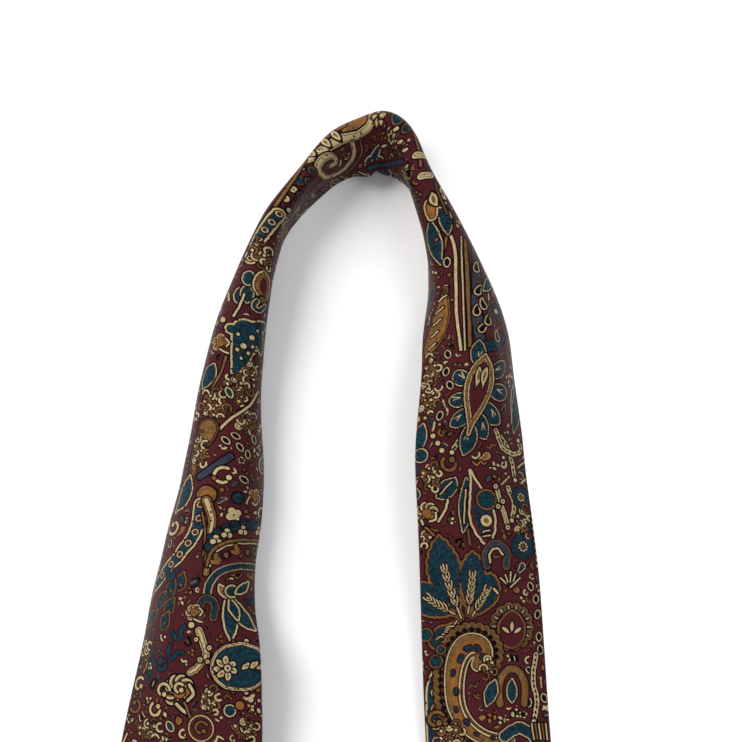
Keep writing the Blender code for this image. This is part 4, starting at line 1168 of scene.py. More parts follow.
# --- front leg, fan of scales on the outer edge
for x0, y0, x1, y1 in ((-61.12, -64.64, -62.72, -70.08), (-64.0, -66.88, -65.92, -72.0),
                       (-66.88, -70.72, -69.44, -75.84), (-64.32, -72.64, -66.56, -77.76),
                       (-69.44, -76.48, -72.32, -81.6), (-65.92, -77.12, -67.84, -82.56),
                       (-71.68, -73.92, -73.92, -78.4)):
    leaves("dark 2.2 gold 1.5 dark 0.2 teal -0.3", (x0, y0, x1, y1, 5.0, -0.32, 0.6))
    dots("dark 0.4 gold 0", ((x0 + x1 * 2) / 3, (y0 + y1 * 2) / 3, 1.2))
band("dark 1.8 gold 1 dark -0.1 teal -0.6", 2.6,
     (-55.68, -78.4), (-56.0, -74.56), (-53.76, -72.64), (-51.2, -74.88), (-51.84, -78.72))
carnation(At(-57.92, -77.44, 30, 0.75), 5)
dots("dark 1.1 cream 0", (-58.72, -81.152, 2.8))
band("dark 1.6 cream 0.7 gold -0.2 bead -1.3", 2.6,
     (-56.32, -82.88), (-55.04, -87.04), (-54.08, -90.88), (-56.96, -95.04), (-59.2, -96.32))
dots("dark 1 cream 0 gold -1.2", (-53.12, -88.64, 2.2), (-56.0, -92.48, 2.4),
     (-53.44, -93.12, 2.0), (-57.28, -86.08, 2.0))
squiggle(At(-62.72, -84.16, 20))
squiggle(At(-64.32, -90.56, -30), 1.1)
hook(At(-68.16, -93.44, 200), 6, 2.2, "teal")
lace(At(-73.28, -89.28), 7, 12, 10, 42)

# --- front leg, round paisley at the end nearest the camera
for k in range(10):
    x, y = (-42.24, -94.72) + oval(-math.radians(60 + 24 * k), 10.08, 8.16)
    dots(f"dark 1 {('gold', 'cream')[k % 2]} 0", (x, y, 2.3))
ink(FACE, [((-43.2, -94.72) + oval(np.linspace(0, 2 * math.pi, 18), 5.44, 3.68), 9.0),
           ([(-45.12, -94.72), (-41.28, -94.72)], 12.0)],
    "dark 3.6 cream 2.7 dark 1.7 bead 1.4 dark 0 teal -0.6")
for turn, length in ((180, 13), (140, 12), (215, 12), (95, 11), (265, 11), (30, 8), (330, 8)):
    e = oval(math.radians(turn), 1.0, 1.0)
    petal(At(-47.04, -95.04), e * 3.0, e * length, 2.6, 0.8, layers="dark 0.9 cream 0 gold -1.7")
dots("dark 0.9 cream 0 teal -1.6", (-47.04, -95.04, 3.0))
leaves("dark 0.9 cream 0 gold -1.5", (-42.56, -95.36, -40.0, -93.44, 2.2),
       (-40.0, -95.04, -37.44, -93.12, 2.2), (-37.44, -95.36, -34.88, -93.44, 2.2))
carnation(At(-62.72, -102.72, 15, 1.45), 7)
hook(At(-62.72, -101.76, 40), 5, 1.5)
strokes((1.3, "gold", (-61.12, -105.92), (-59.2, -110.4), (-57.28, -114.88)))
lace(At(-52.48, -105.6), 9, 12, 13, 44)
dots("dark 1.8 cream 0.8 teal -0.4", (-46.4, -108.8, 5.0))
dots("dark 1.2 orange 0", (-43.2, -107.2, 4.0))
for tone, *where in (("cream", -75.52, -100.096, 40), ("gold", -76.48, -106.88, 200),
                     ("cream", -70.272, -108.352, 120), ("cream", -67.84, -102.08, 0)):
    hook(At(*where), 7.0, 1.5, tone)
dots("dark 2 cream 1.2 ground 0", (-55.68, -114.24, 11.0))
hook(At(-55.68, -114.24, 30), 6.5, 1.3, "gold")
lace(At(-41.28, -114.88), 12, 10, 12, 45)
lace(At(-72.0, -114.88), 14, 9, 12, 46)
seed(At(-65.6, -113.92, 30), 9, 2.6, "teal")
squiggle(At(-64.96, -65.28, 10), 0.8)
add_halos(face_start, 2.6)


# ------------------------------------------------------------ fine sheets
def distance_to(shapes, x, y):
    """Signed distance to a union of round-ended tapered strokes."""
    out = np.full(x.shape, 50.0, np.float32)
    for p, r in shapes:
        if len(p) == 1:
            out = np.minimum(out, np.hypot(x - p[0, 0], y - p[0, 1]) - r[0])
            continue
        for a, b, ra, rb in zip(p[:-1], p[1:], r[:-1], r[1:]):
            d = b - a
            t = np.clip(((x - a[0]) * d[0] + (y - a[1]) * d[1]) / (d @ d + 1e-9), 0, 1)
            gap = np.hypot(x - a[0] - t * d[0], y - a[1] - t * d[1])
            out = np.minimum(out, gap - (ra + (rb - ra) * t))
    return out


def paint(across, along):
    """Ink distances over a grid of fabric coordinates (rows along the strip), and the
    distances along the strip to the two seams."""
    fields = {name: np.full(across.shape, 8.0, np.float32) for name in INKS}
    along_min, along_max = along.min(1), along.max(1)
    across_min, across_max = across.min(0), across.max(0)
    from_front = (along - SEAM_F / MM) - SLANT * across
    from_tail = (along - SEAM_T / MM) - SLANT * across
    zones = np.where(from_front < 0, -1, np.where(from_tail > 0, 1, 0))
    for zone, low, high, shapes, layers in PAINTED:
        rows = np.nonzero((along_max >= low[1]) & (along_min <= high[1]))[0]
        cols = np.nonzero((across_max >= low[0]) & (across_min <= high[0]))[0]
        if not len(rows) or not len(cols):
            continue
        part = (slice(rows[0], rows[-1] + 1), slice(cols[0], cols[-1] + 1))
        here = zones[part] == zone
        if not here.any():
            continue
        shape = distance_to(shapes, across[part].astype(np.float32), along[part].astype(np.float32))
        shape = np.where(here, shape, 50.0).astype(np.float32)
        for painted, grow in layers:
            d = shape - grow
            for name, field in fields.items():
                if name == painted:
                    field[part] = np.minimum(field[part], d)
                else:
                    field[part] = np.maximum(field[part], -d)
    return {name: np.clip(field, -3, 3) for name, field in fields.items()}, from_front, from_tail


def build(name, points, quads, rims):
    """Mesh of smooth quads and flat-shaded longer faces."""
    mesh = bpy.data.meshes.new(name)
    mesh.vertices.add(len(points))
    mesh.vertices.foreach_set("co", np.asarray(points, np.float32).ravel())
    corners = np.concatenate([quads.ravel()] + [np.asarray(f) for f in rims])
    rim_starts = np.cumsum([0] + [len(f) for f in rims])[:-1]
    starts = np.concatenate([np.arange(len(quads)) * 4, len(quads) * 4 + rim_starts])
    mesh.loops.add(len(corners))
    mesh.loops.foreach_set("vertex_index", corners.astype(np.int32))
    mesh.polygons.add(len(starts))
    mesh.polygons.foreach_set("loop_start", starts.astype(np.int32))
    mesh.polygons.foreach_set("use_smooth", np.arange(len(starts)) < len(quads))
    mesh.update(calc_edges=True)
    piece = bpy.data.objects.new(name, mesh)
    bpy.context.scene.collection.objects.link(piece)
    return piece


def grid_faces(rows, cols, base, flip):
    i, j = np.meshgrid(np.arange(rows - 1), np.arange(cols - 1), indexing="ij")
    a = (base + i * cols + j).ravel()
    quads = np.stack([a, a + cols, a + cols + 1, a + 1], 1)
    return quads[:, ::-1] if flip else quads


def closed(name, outer, inner, row_at=None, col_at=None, flip=False):
    """Closed sheet: an outer grid, an inner grid at its rows row_at and columns col_at
    (all of them by default), and a rim between."""
    rows, cols = outer.shape[:2]
    r, c = inner.shape[:2]
    row_at = np.arange(rows) if row_at is None else row_at
    col_at = np.arange(cols) if col_at is None else col_at
    n = rows * cols
    quads = np.vstack([grid_faces(rows, cols, 0, flip), grid_faces(r, c, n, not flip)])
    rims = []
    for row, k in ((0, 0), (rows - 1, r - 1)):
        for m in range(c - 1):
            f = [row * cols + j for j in range(col_at[m], col_at[m + 1] + 1)]
            f += [n + k * c + m + 1, n + k * c + m]
            rims.append(f if (row == 0) ^ flip else f[::-1])
    for col, k in ((0, 0), (cols - 1, c - 1)):
        for m in range(r - 1):
            f = [i * cols + col for i in range(row_at[m], row_at[m + 1] + 1)]
            f += [n + (m + 1) * c + k, n + m * c + k]
            rims.append(f if (col != 0) ^ flip else f[::-1])
    return build(name, np.vstack([outer.reshape(-1, 3), inner.reshape(-1, 3)]), quads, rims)


def every(count, step):
    return np.array(list(range(0, count - 1, step)) + [count - 1])


def ink_attributes(piece, fields, copies=1):
    """Keep the ink distances on the first vertices; the rest are far from any ink."""
    mesh = piece.data
    for name in INKS:
        values = np.tile(fields[name].ravel(), copies)
        full = np.full(len(mesh.vertices), 3.0, np.float32)
        full[:len(values)] = values
        mesh.attributes.new("ink_" + name, "FLOAT", "POINT").data.foreach_set("value", full)


def vector_attribute(piece, name, values):
    mesh = piece.data
    full = np.zeros((len(mesh.vertices), 3), np.float32)
    full[:len(values)] = values
    layer = mesh.attributes.new(name, "FLOAT_VECTOR", "POINT")
    layer.data.foreach_set("vector", full.ravel())


COARSE = 1.0
CAP = 1.35 * MM         # how far the rounded end of a point reaches


def silk_piece(name, s0, s1, spacing, tip):
    """One length of the folded, printed silk. spacing: mesh steps along, over the face and
    over the flaps (mm). tip: -1 or 1 when s0 or s1 is a blade's point."""
    step, face_step, back_step = (v * COARSE for v in spacing)
    hw = max(float(half(s0)), float(half(s1)), float(half((s0 + s1) / 2))) / MM
    faces, turns, backs = int(2 * hw / face_step), 12, max(10, int(hw / back_step))
    fold = np.concatenate([
        np.linspace(-2, -1 - TURN, backs, endpoint=False),
        np.linspace(-1 - TURN, -1 + TURN, turns, endpoint=False),
        np.linspace(-1 + TURN, 1 - TURN, faces, endpoint=False),
        np.linspace(1 - TURN, 1 + TURN, turns, endpoint=False),
        np.linspace(1 + TURN, 2, backs + 1)])[None, :]
    s = np.linspace(s0, s1, int((s1 - s0) / (step * MM)) + 1)
    cap = np.zeros(len(s))
    if tip:
        angles = np.linspace(0, math.pi / 2, 7)[1:]
        reach = CAP * np.sin(angles)
        if tip < 0:
            s, cap = np.concatenate([s0 - reach[::-1], s]), np.concatenate([angles[::-1], cap])
        else:
            s, cap = np.concatenate([s, s1 + reach]), np.concatenate([cap, angles])
    closing = np.maximum(np.cos(cap), 0.02)[:, None]
    s = s[:, None]
    _, across, along = silk_points(np.clip(s, s0, s1), fold, LAYER)
    across, along = across / MM, np.broadcast_to(along, across.shape) / MM
    fields, from_front, from_tail = paint(across, along)
    # the diagonal seam lies in a small dip between two soft rolls
    slope = math.hypot(1, SLANT)
    puff = np.zeros(across.shape)
    for d in (from_front / slope, from_tail / slope):
        puff += -0.30 * np.exp(-(d / 0.38) ** 2) + 0.10 * np.exp(-((np.abs(d) - 1.7) / 1.0) ** 2)
    # the flaps' folded ends are a little thicker
    hem = (np.abs(fold) - 2) * hw * (1 / (1 - TURN))
    puff = puff + 0.10 * np.exp(-(hem / 1.4) ** 2) * (np.abs(fold) > 1.3)
    outer = silk_points(s, fold, (HALF + puff * MM) * closing)[0]
    row_at = every(len(s), 8)
    back_at, turn_at, face_at = every(backs + 1, 8), every(turns + 1, 2), every(faces + 1, 8)
    col_at = np.unique(np.concatenate([
        back_at, backs + turn_at, backs + turns + face_at,
        backs + turns + faces + turn_at, backs + 2 * turns + faces + back_at]))
    inner = silk_points(s[row_at], fold[:, col_at], (LAYER - 0.14 * MM) * closing[row_at])[0]
    piece = closed(name, outer, inner, row_at, col_at)
    ink_attributes(piece, fields)
    on_seam = np.minimum(np.abs(from_front), np.abs(from_tail)) / slope < 0.5
    fabric = np.stack([across, along, np.where(on_seam, 1, 0)], -1)
    vector_attribute(piece, "fabric", fabric.reshape(-1, 3))
    return piece


# --------------------------------------------------------------- materials
class Graph:
    """A new material and short ways to add nodes to it."""

    def __init__(self, name):
        self.material = bpy.data.materials.new(name)
        self.material.use_nodes = True
        self.tree = self.material.node_tree
        self.bsdf = next(n for n in self.tree.nodes if n.type == "BSDF_PRINCIPLED")

    def put(self, socket, value):
        if isinstance(value, bpy.types.NodeSocket):
            self.tree.links.new(value, socket)
        else:
            socket.default_value = value

    def node(self, kind, inputs, **settings):
        node = self.tree.nodes.new(kind)
        for key, value in settings.items():
            setattr(node, key, value)
        for key, value in inputs.items():
            self.put(node.inputs[key], value)
        return node

    def surface(self, inputs):
        for key, value in inputs.items():
            self.put(self.bsdf.inputs[key], value)
        return self.material

    def math(self, operation, *values):
        inputs = {0: values[0], 1: 0.0, **dict(enumerate(values))}
        return self.node("ShaderNodeMath", inputs, operation=operation).outputs[0]

    def wave(self, phase):
        """A sine from 0 to 1."""
        return self.math("MULTIPLY_ADD", self.math("SINE", phase), 0.5, 0.5)

    def attribute(self, name, output="Fac"):
        return self.node("ShaderNodeAttribute", {}, attribute_name=name).outputs[output]

    def ramp(self, value, span, to=(0.0, 1.0), **settings):
        """Map a value from span to to."""
        return self.node("ShaderNodeMapRange", {
            "Value": value, "From Min": span[0], "From Max": span[1],
            "To Min": to[0], "To Max": to[1]}, **settings).outputs["Result"]

    def inside(self, distance, soft):
        """1 where distance is negative, 0 outside."""
        return self.ramp(distance, (-soft, soft), (1.0, 0.0), interpolation_type="SMOOTHSTEP")

    def noise(self, vector, scale, detail=2.0, rough=0.5, distort=0.0):
        return self.node("ShaderNodeTexNoise", {
            "Vector": vector, "Scale": scale, "Detail": detail, "Roughness": rough,
            "Distortion": distort}).outputs["Fac"]

    def voronoi(self, vector, scale):
        inputs = {"Vector": vector, "Scale": scale}
        return self.node("ShaderNodeTexVoronoi", inputs).outputs["Distance"]

    def mix(self, factor, a, b, mode="MIX"):
        node = self.node("ShaderNodeMix", {}, data_type="RGBA", blend_type=mode)
        self.put(node.inputs["Factor"], factor)
        for key, value in (("A", a), ("B", b)):
            socket = [x for x in node.inputs if x.name == key and x.type == "RGBA"][0]
            self.put(socket, (*value, 1.0) if isinstance(value, tuple) else value)
        return [x for x in node.outputs if x.type == "RGBA"][0]

    def fade(self, value, span, low, high, to=(0.0, 1.0)):
        """Colour low at the start of span, high at its end; to limits the share of high."""
        return self.mix(self.ramp(value, span, to), low, high)

    def split(self, vector):
        return self.node("ShaderNodeSeparateXYZ", {0: vector}).outputs

    def bump(self, height, strength, distance):
        return self.node("ShaderNodeBump", {
            "Height": height, "Strength": strength, "Distance": distance}).outputs[0]


def scaled(color, *factors):
    return tuple(c * f for c, f in zip(color, factors * (3 // len(factors))))


def silk_material():
    g = Graph("printed_silk_twill")
    fabric = g.attribute("fabric", "Vector")
    across, along, _ = g.split(fabric)
    # the printed edges wander a little
    wobble = g.math("SUBTRACT", g.noise(fabric, scale=1.6, detail=3.0, rough=0.6), 0.5)
    wobble = g.math("MULTIPLY", wobble, 0.26)
    blot = g.noise(fabric, scale=0.55, detail=3.0, rough=0.6)
    fine = g.noise(fabric, scale=2.2, detail=2.0, rough=0.6)
    ground = g.fade(g.noise(fabric, scale=0.06, detail=3.0, rough=0.5), span=(0.3, 0.7),
                    low=(0.082, 0.0165, 0.0185), high=(0.062, 0.0125, 0.0155))
    ground = g.fade(fine, span=(0.35, 0.75), low=ground, high=(0.046, 0.010, 0.014))
    cream = g.fade(blot, span=(0.35, 0.7), low=(0.50, 0.41, 0.225), high=(0.36, 0.275, 0.135))
    cream = g.fade(fine, span=(0.58, 0.75), low=cream, high=(0.17, 0.11, 0.045), to=(0.0, 0.5))
    bead = g.fade(g.voronoi(fabric, scale=0.75), span=(0.20, 0.34),
                  low=(0.012, 0.007, 0.005), high=(0.42, 0.33, 0.17))
    gold = g.fade(blot, span=(0.3, 0.72), low=(0.215, 0.112, 0.036), high=(0.10, 0.048, 0.017))
    gold = g.fade(g.voronoi(fabric, scale=1.1), span=(0.16, 0.30), low=gold,
                  high=(0.035, 0.018, 0.010), to=(0.75, 0.0))
    orange = g.fade(blot, span=(0.3, 0.7), low=(0.27, 0.115, 0.030), high=(0.155, 0.062, 0.018))
    teal = g.fade(g.noise(fabric, scale=0.9, detail=3.0, rough=0.65, distort=0.6),
                  span=(0.36, 0.62), low=(0.010, 0.043, 0.062), high=(0.007, 0.015, 0.022))
    teal = g.fade(g.voronoi(fabric, scale=0.62), span=(0.10, 0.20), low=teal,
                  high=(0.045, 0.10, 0.085), to=(0.7, 0.0))
    slate = g.fade(blot, span=(0.35, 0.65), low=(0.040, 0.050, 0.068), high=(0.020, 0.025, 0.036))
    brown = g.fade(fine, span=(0.3, 0.7), low=(0.135, 0.070, 0.028), high=(0.065, 0.033, 0.016))
    color = ground
    for name, tint in (("slate", slate), ("teal", teal), ("brown", brown), ("gold", gold),
                       ("orange", orange), ("bead", bead), ("cream", cream),
                       ("dark", (0.0065, 0.004, 0.004))):
        distance = g.math("ADD", g.attribute("ink_" + name), wobble)
        color = g.mix(g.inside(distance, soft=0.09), color, tint)

    # twill: fine diagonal ribs, each crossed by its short floats
    def diagonal(across_share, along_share, pitch):
        run = g.math("ADD", g.math("MULTIPLY", across, across_share),
                     g.math("MULTIPLY", along, along_share))
        return g.math("MULTIPLY", run, 2 * math.pi / pitch)

    phase = diagonal(across_share=0.78, along_share=1.0, pitch=0.82)
    waver = g.math("MULTIPLY", g.noise(fabric, scale=0.35, detail=2.0), 2.2)
    rib = g.wave(g.math("ADD", phase, waver))
    floats = g.wave(diagonal(across_share=-1.9, along_share=1.5, pitch=1.05))
    weave = g.math("MULTIPLY", rib, g.math("MULTIPLY_ADD", floats, 0.35, 0.65))
    weave = g.math("MULTIPLY_ADD", weave, 1.0, 0.0)
    wear = g.ramp(g.noise(fabric, scale=0.025, detail=4.0, rough=0.6),
                  span=(0.35, 0.75), to=(0.92, 1.08))
    # painted light and shade of the twill: the weave makes the rib tops lighter and the grooves
    # between them darker
    tone = g.math("MULTIPLY", g.ramp(weave, span=(0.0, 1.0), to=(0.66, 1.20)), wear)
    grey = g.node("ShaderNodeCombineXYZ", {0: tone, 1: tone, 2: tone}).outputs[0]
    woven = g.mix(1.0, color, grey, "MULTIPLY")
    shine = g.mix(1.0, color, (2.6, 2.6, 2.6), "MULTIPLY")
    height = g.math("ADD", g.math("MULTIPLY", weave, 0.055),
                    g.math("MULTIPLY", g.noise(fabric, scale=0.30, detail=3.0, rough=0.55), 0.25))
    return g.surface({
        "Base Color": woven, "Roughness": g.ramp(weave, span=(0.0, 1.0), to=(0.62, 0.46)),
        "Specular IOR Level": 0.30, "Specular Tint": shine,
        "Sheen Weight": 0.035, "Sheen Roughness": 0.35, "Sheen Tint": shine,
        "Normal": g.bump(height, strength=0.55, distance=0.001)})


def cloth_material(name, low, high, pitch, rough, sheen, ribs, fuzz, specular):
    """Plain woven cloth from the object's own position: crossing threads, mottling and a
    soft nap. pitch is in mm; ribs sets the painted shade in the gaps between threads."""
    g = Graph(name)
    place_ = g.node("ShaderNodeTexCoord", {}).outputs["Object"]
    x, y, _ = g.split(place_)
    frequency = 2 * math.pi / (pitch * MM)
    warp, weft = [g.wave(g.math("MULTIPLY", v, frequency)) for v in (x, y)]
    weave = g.math("MAXIMUM", warp, weft)
    mottle = g.noise(place_, scale=260.0, detail=4.0, rough=0.65)
    color = g.fade(mottle, span=(0.3, 0.7), low=low, high=high)
    # painted shade: the gaps between the threads are darkened by the share ribs
    color = g.fade(weave, span=(0.3, 1.0), low=color, high=scaled(low, 0.35), to=(ribs, 0.0))
    color = g.fade(g.noise(place_, scale=30.0, detail=3.0), span=(0.5, 0.8), low=color,
                   high=scaled(high, 0.8, 0.75, 0.65), to=(0.0, 0.35))
    nap = g.math("MULTIPLY", g.noise(place_, scale=900.0, detail=3.0, rough=0.7), fuzz)
    height = g.math("ADD", g.math("MULTIPLY", weave, 0.10), nap)
    return g.surface({
        "Base Color": color, "Roughness": rough, "Sheen Weight": sheen,
        "Specular IOR Level": specular,
        "Normal": g.bump(height, strength=0.5, distance=0.0006)})


def thread_material(name, low, high):
    """Two-ply sewing thread: a helical twist, with painted shade in the grooves between the plies."""
    g = Graph(name)
    twist = g.attribute("twist", "Vector")
    run, angle, _ = g.split(twist)
    phase = g.math("ADD", g.math("MULTIPLY", run, 2 * math.pi / 0.9),
                   g.math("MULTIPLY", angle, 2.0))
    ply = g.wave(phase)
    # painted shade in the grooves between the plies
    color = g.fade(ply, span=(0.1, 0.8), low=scaled(low, 0.35), high=low)
    color = g.fade(g.noise(twist, scale=1.5, detail=2.0), span=(0.4, 0.7), low=color, high=high)
    return g.surface({"Base Color": color, "Roughness": 0.55, "Sheen Weight": 0.25,
                      "Normal": g.bump(ply, strength=0.6, distance=0.0002)})


def ribbon_material(name, base, border, fleck):
    """Woven ribbon: fine weft, a border of two lines in a second colour, a plain field."""
    g = Graph(name)
    ribbon = g.attribute("ribbon", "Vector")
    along, across, edge = g.split(ribbon)
    weft = g.wave(g.math("MULTIPLY", along, 2 * math.pi / 0.42))
    warp = g.wave(g.math("MULTIPLY", across, 2 * math.pi / 0.55))
    weave = g.math("MULTIPLY", weft, g.math("MULTIPLY_ADD", warp, 0.5, 0.5))
    color = g.fade(g.noise(ribbon, scale=1.2, detail=3.0, rough=0.6), span=(0.3, 0.7),
                   low=base, high=fleck)

    def border_line(inset, half_width, soft):
        gap = g.math("ABSOLUTE", g.math("SUBTRACT", edge, inset))
        return g.inside(g.math("SUBTRACT", gap, half_width), soft)

    lines = g.math("MAXIMUM", border_line(inset=2.3, half_width=0.45, soft=0.08),
                   border_line(inset=3.5, half_width=0.16, soft=0.06))
    color = g.mix(lines, color, border)
    # painted shade in the gaps of the weave
    color = g.fade(weave, span=(0.0, 0.7), low=color, high=scaled(base, 0.3), to=(0.45, 0.0))
    return g.surface({
        "Base Color": color, "Roughness": g.ramp(weave, span=(0, 1), to=(0.6, 0.38)),
        "Sheen Weight": 0.02, "Specular IOR Level": 0.12,
        "Normal": g.bump(weave, strength=0.5, distance=0.0003)})


# each look is a material and a slot name, which finish() does not use
SILK_LOOK = silk_material(), "printed_silk"
WOOL_LOOK = cloth_material(
    "brushed_wool", low=(0.74, 0.70, 0.60), high=(0.60, 0.56, 0.46), pitch=1.1, rough=0.95,
    sheen=0.6, ribs=0.30, fuzz=1.0, specular=0.3), "wool_interlining"
LINING_LOOK = cloth_material(
    "tipping_satin", low=(0.024, 0.009, 0.012), high=(0.036, 0.012, 0.016), pitch=0.45,
    rough=0.50, sheen=0.02, ribs=0.35, fuzz=0.1, specular=0.10), "tipping_lining"
THREAD_LOOK = thread_material(
    "sewing_thread", low=(0.16, 0.028, 0.034), high=(0.11, 0.020, 0.026)), "sewing_thread"
LABEL_LOOK = ribbon_material(
    "label_ribbon", base=(0.022, 0.020, 0.023), border=(0.34, 0.22, 0.09),
    fleck=(0.030, 0.026, 0.030)), "label_ribbon"
TAG_LOOK = ribbon_material(
    "care_tag_tape", base=(0.80, 0.78, 0.72), border=(0.66, 0.63, 0.56),
    fleck=(0.72, 0.69, 0.62)), "care_tag_tape"


# ------------------------------------------------------------------ pieces
def finish(piece, look, follows, *replaced):
    """Dress a piece in its material and hide the parts it replaces; follows is the body it rides, or
    a bend between two bodies, and then the piece stays fixed where it lies.
    """
    material, slot = look
    piece.data.materials.append(material)
    if isinstance(follows, str):
        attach(piece, follows)
    else:
        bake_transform(piece)
    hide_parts(*replaced)


def pivot_of(joint):
    return np.array(next(j["pos_m"] for j in frame["joints"] if j["name"] == joint))


def fold_bend(first, second, joint, away):
    """The bend at a fold: 12 mm long, starting at the joint."""
    start = pivot_of(joint)
    return first, second, start, start + np.append(away, 0.0) * 12 * MM


# a stretch for the neck's bend, starting left of the arch's crown, clear of both legs; nothing here
# bends the pieces along it
ARCH = np.array([19.0 * MM, 385.0 * MM, 12 * MM])
NECK_BEND = "neck", "neck_tail_half", ARCH, ARCH + np.array([29.0 * MM, 0.0, 0.0])
FRONT_FOLD = fold_bend("neck", "front_upper", "front_fold", FRONT_AWAY)
FRONT_LOWER_FOLD = fold_bend("front_upper", "front_lower", "front_lower_fold", FRONT_AWAY)
FRONT_TIP_FOLD = fold_bend("front_lower", "front_tip", "front_tip_fold", FRONT_AWAY)
TAIL_FOLD = fold_bend("neck_tail_half", "tail_upper", "tail_fold", TAIL_AWAY)
TAIL_TIP_FOLD = fold_bend("tail_upper", "tail_tip", "tail_tip_fold", TAIL_AWAY)

# where the pieces of silk and wool meet, along the strip: F front, T tail
CUT_F1, CUT_F2, CUT_F3, CUT_T1, CUT_T2 = -262 * MM, -466 * MM, -673 * MM, 250 * MM, 431 * MM
NECK_MESH, LEG_MESH = (0.32, 0.30, 0.6), (0.45, 0.45, 0.75)

for name, s0, s1, spacing, tip, bend, *replaced in (
        ("neck_silk_front_half", CUT_F1, 0.0, NECK_MESH, 0, NECK_BEND, "neck_gusset_front_half"),
        ("neck_silk_tail_half", 0.0, CUT_T1, NECK_MESH, 0, NECK_BEND, "neck_gusset_tail_half"),
        ("front_silk_upper", CUT_F2, CUT_F1, LEG_MESH, 0, FRONT_FOLD, "front_panel_top"),
        ("front_silk_middle", CUT_F3, CUT_F2, LEG_MESH, 0, FRONT_LOWER_FOLD, "front_blade_upper"),
        ("front_silk_point", S_FRONT_END - 2.4 * MM, CUT_F3, LEG_MESH, -1, FRONT_TIP_FOLD,
         "front_blade_lower", "front_blade_tip"),
        ("tail_silk_upper", CUT_T1, CUT_T2, LEG_MESH, 0, TAIL_FOLD,
         "tail_panel_top", "tail_blade_upper"),
        ("tail_silk_point", CUT_T2, S_TAIL_END + 2.4 * MM, LEG_MESH, 1, TAIL_TIP_FOLD,
         "tail_blade_tip")):
    finish(silk_piece(name, s0, s1, spacing, tip), SILK_LOOK, bend, *replaced)


def slab(name, s, x, top, low):
    """A flat layer inside the tie; s is a column of stations, x a row of places for each."""
    return closed(name, strip(s, x, top), strip(s, x, low))


def wool(name, s0, s1, step, bend, replaced):
    s = np.linspace(s0, s1, int((s1 - s0) / (step * MM)))[:, None]
    x = np.linspace(-1, 1, 13) * np.maximum(half(s) - 3.4 * MM, 0.4 * MM)
    finish(slab(name, s, x, WOOL / 2, -WOOL / 2), WOOL_LOOK, bend, replaced)


for row in (
        ("wool_neck_front_half", CUT_F1, 0.0, 1.4, NECK_BEND, "neck_interlining_front_half"),
        ("wool_neck_tail_half", 0.0, CUT_T1, 1.4, NECK_BEND, "neck_interlining_tail_half"),
        ("wool_front_upper", CUT_F2, CUT_F1, 4, FRONT_FOLD, "interlining_front_upper"),
        ("wool_front_middle", CUT_F3, CUT_F2, 4, FRONT_LOWER_FOLD, "interlining_front_lower"),
        ("wool_front_point", S_FRONT_END + 6 * MM, CUT_F3, 3, FRONT_TIP_FOLD,
         "interlining_front_tip"),
        ("wool_tail_upper", CUT_T1, CUT_T2, 4, TAIL_FOLD, "interlining_tail_upper"),
        ("wool_tail_point", CUT_T2, S_TAIL_END - 6 * MM, 3, TAIL_TIP_FOLD,
         "interlining_tail_tip")):
    wool(*row)


def tipping(name, s0, s1, bend, *replaced):
    """Lining satin behind the opening of a point, its edges tucked under the turned hems."""
    s = np.linspace(s0, s1, 60)[:, None]
    hw = half(s)
    x = np.linspace(-1, 1, 25) * np.minimum(hw - flap_length(s) + 3.0 * MM, hw - 2.0 * MM)
    piece = slab(name, s, x, -(LAYER - 0.60 * MM), -(LAYER - 0.36 * MM))
    finish(piece, LINING_LOOK, bend, *replaced)


S_OPEN_F, S_OPEN_T = S_FRONT_END + FRONT_OPEN, S_TAIL_END - TAIL_OPEN
tipping("front_tipping", S_FRONT_END + 16 * MM, S_OPEN_F + 4 * MM, FRONT_TIP_FOLD,
        "front_tipping_upper", "front_tipping_point")
tipping("tail_tipping_lining", S_OPEN_T - 4 * MM, S_TAIL_END - 15 * MM, TAIL_TIP_FOLD,
        "tail_tipping")


def threads(name, lines, radius, follows, replaced, sides=6):
    """Round threads along lines of points, with the run and angle kept for the twist."""
    points, quads, caps, twists = [], [], [], []
    base = 0
    angles = np.linspace(0, 2 * math.pi, sides, endpoint=False)
    for line in lines:
        d = unit(np.gradient(line, axis=0))
        up = np.array([0, 0, 1.0]) - d * d[:, 2:3]
        steep = np.linalg.norm(up, axis=1) < 0.2
        up[steep] = np.cross(d[steep], [1.0, 0, 0])
        up = unit(up)
        side = np.cross(d, up)
        points.append((line[:, None] + radius * (
            np.cos(angles)[None, :, None] * side[:, None]
            + np.sin(angles)[None, :, None] * up[:, None])).reshape(-1, 3))
        n = len(line)
        twist = np.zeros((n, sides, 3))
        twist[..., 0], twist[..., 1] = (run_along(line) / MM)[:, None], angles[None, :]
        twists.append(twist.reshape(-1, 3))
        i, j = np.meshgrid(np.arange(n - 1), np.arange(sides), indexing="ij")
        k = (j + 1) % sides
        ring = np.stack([i * sides + j, (i + 1) * sides + j, (i + 1) * sides + k, i * sides + k], -1)
        quads.append((base + ring).reshape(-1, 4)[:, ::-1])
        caps.append([base + m for m in range(sides)])
        caps.append([base + (n - 1) * sides + m for m in range(sides)][::-1])
        base += n * sides
    piece = build(name, np.vstack(points), np.vstack(quads), caps)
    vector_attribute(piece, "twist", np.vstack(twists))
    finish(piece, THREAD_LOOK, follows, replaced)


def slip_stitch(name, s0, s1, bend, replaced):
    """Hand stitches closing the back: short slanting bites across the slit, and the thread
    that joins them."""
    lines = []
    t = np.linspace(-1, 1, 9)
    depth = -(HALF + 0.10 * MM + 0.10 * MM * np.cos(t * math.pi / 2) - 0.30 * MM * np.abs(t) ** 4)
    for centre in np.linspace(s0 + 4 * MM, s1 - 4 * MM, int((s1 - s0) / (9 * MM))):
        lines.append(strip(centre + 1.1 * MM * t, 0.95 * MM * t, depth))
    s = np.linspace(s0, s1, int((s1 - s0) / (2 * MM)))
    lines.append(strip(s, 0.10 * MM * np.sin(s / (1.3 * MM)), -(LAYER - 0.05 * MM)))
    threads(name, lines, 0.12 * MM, bend, replaced)


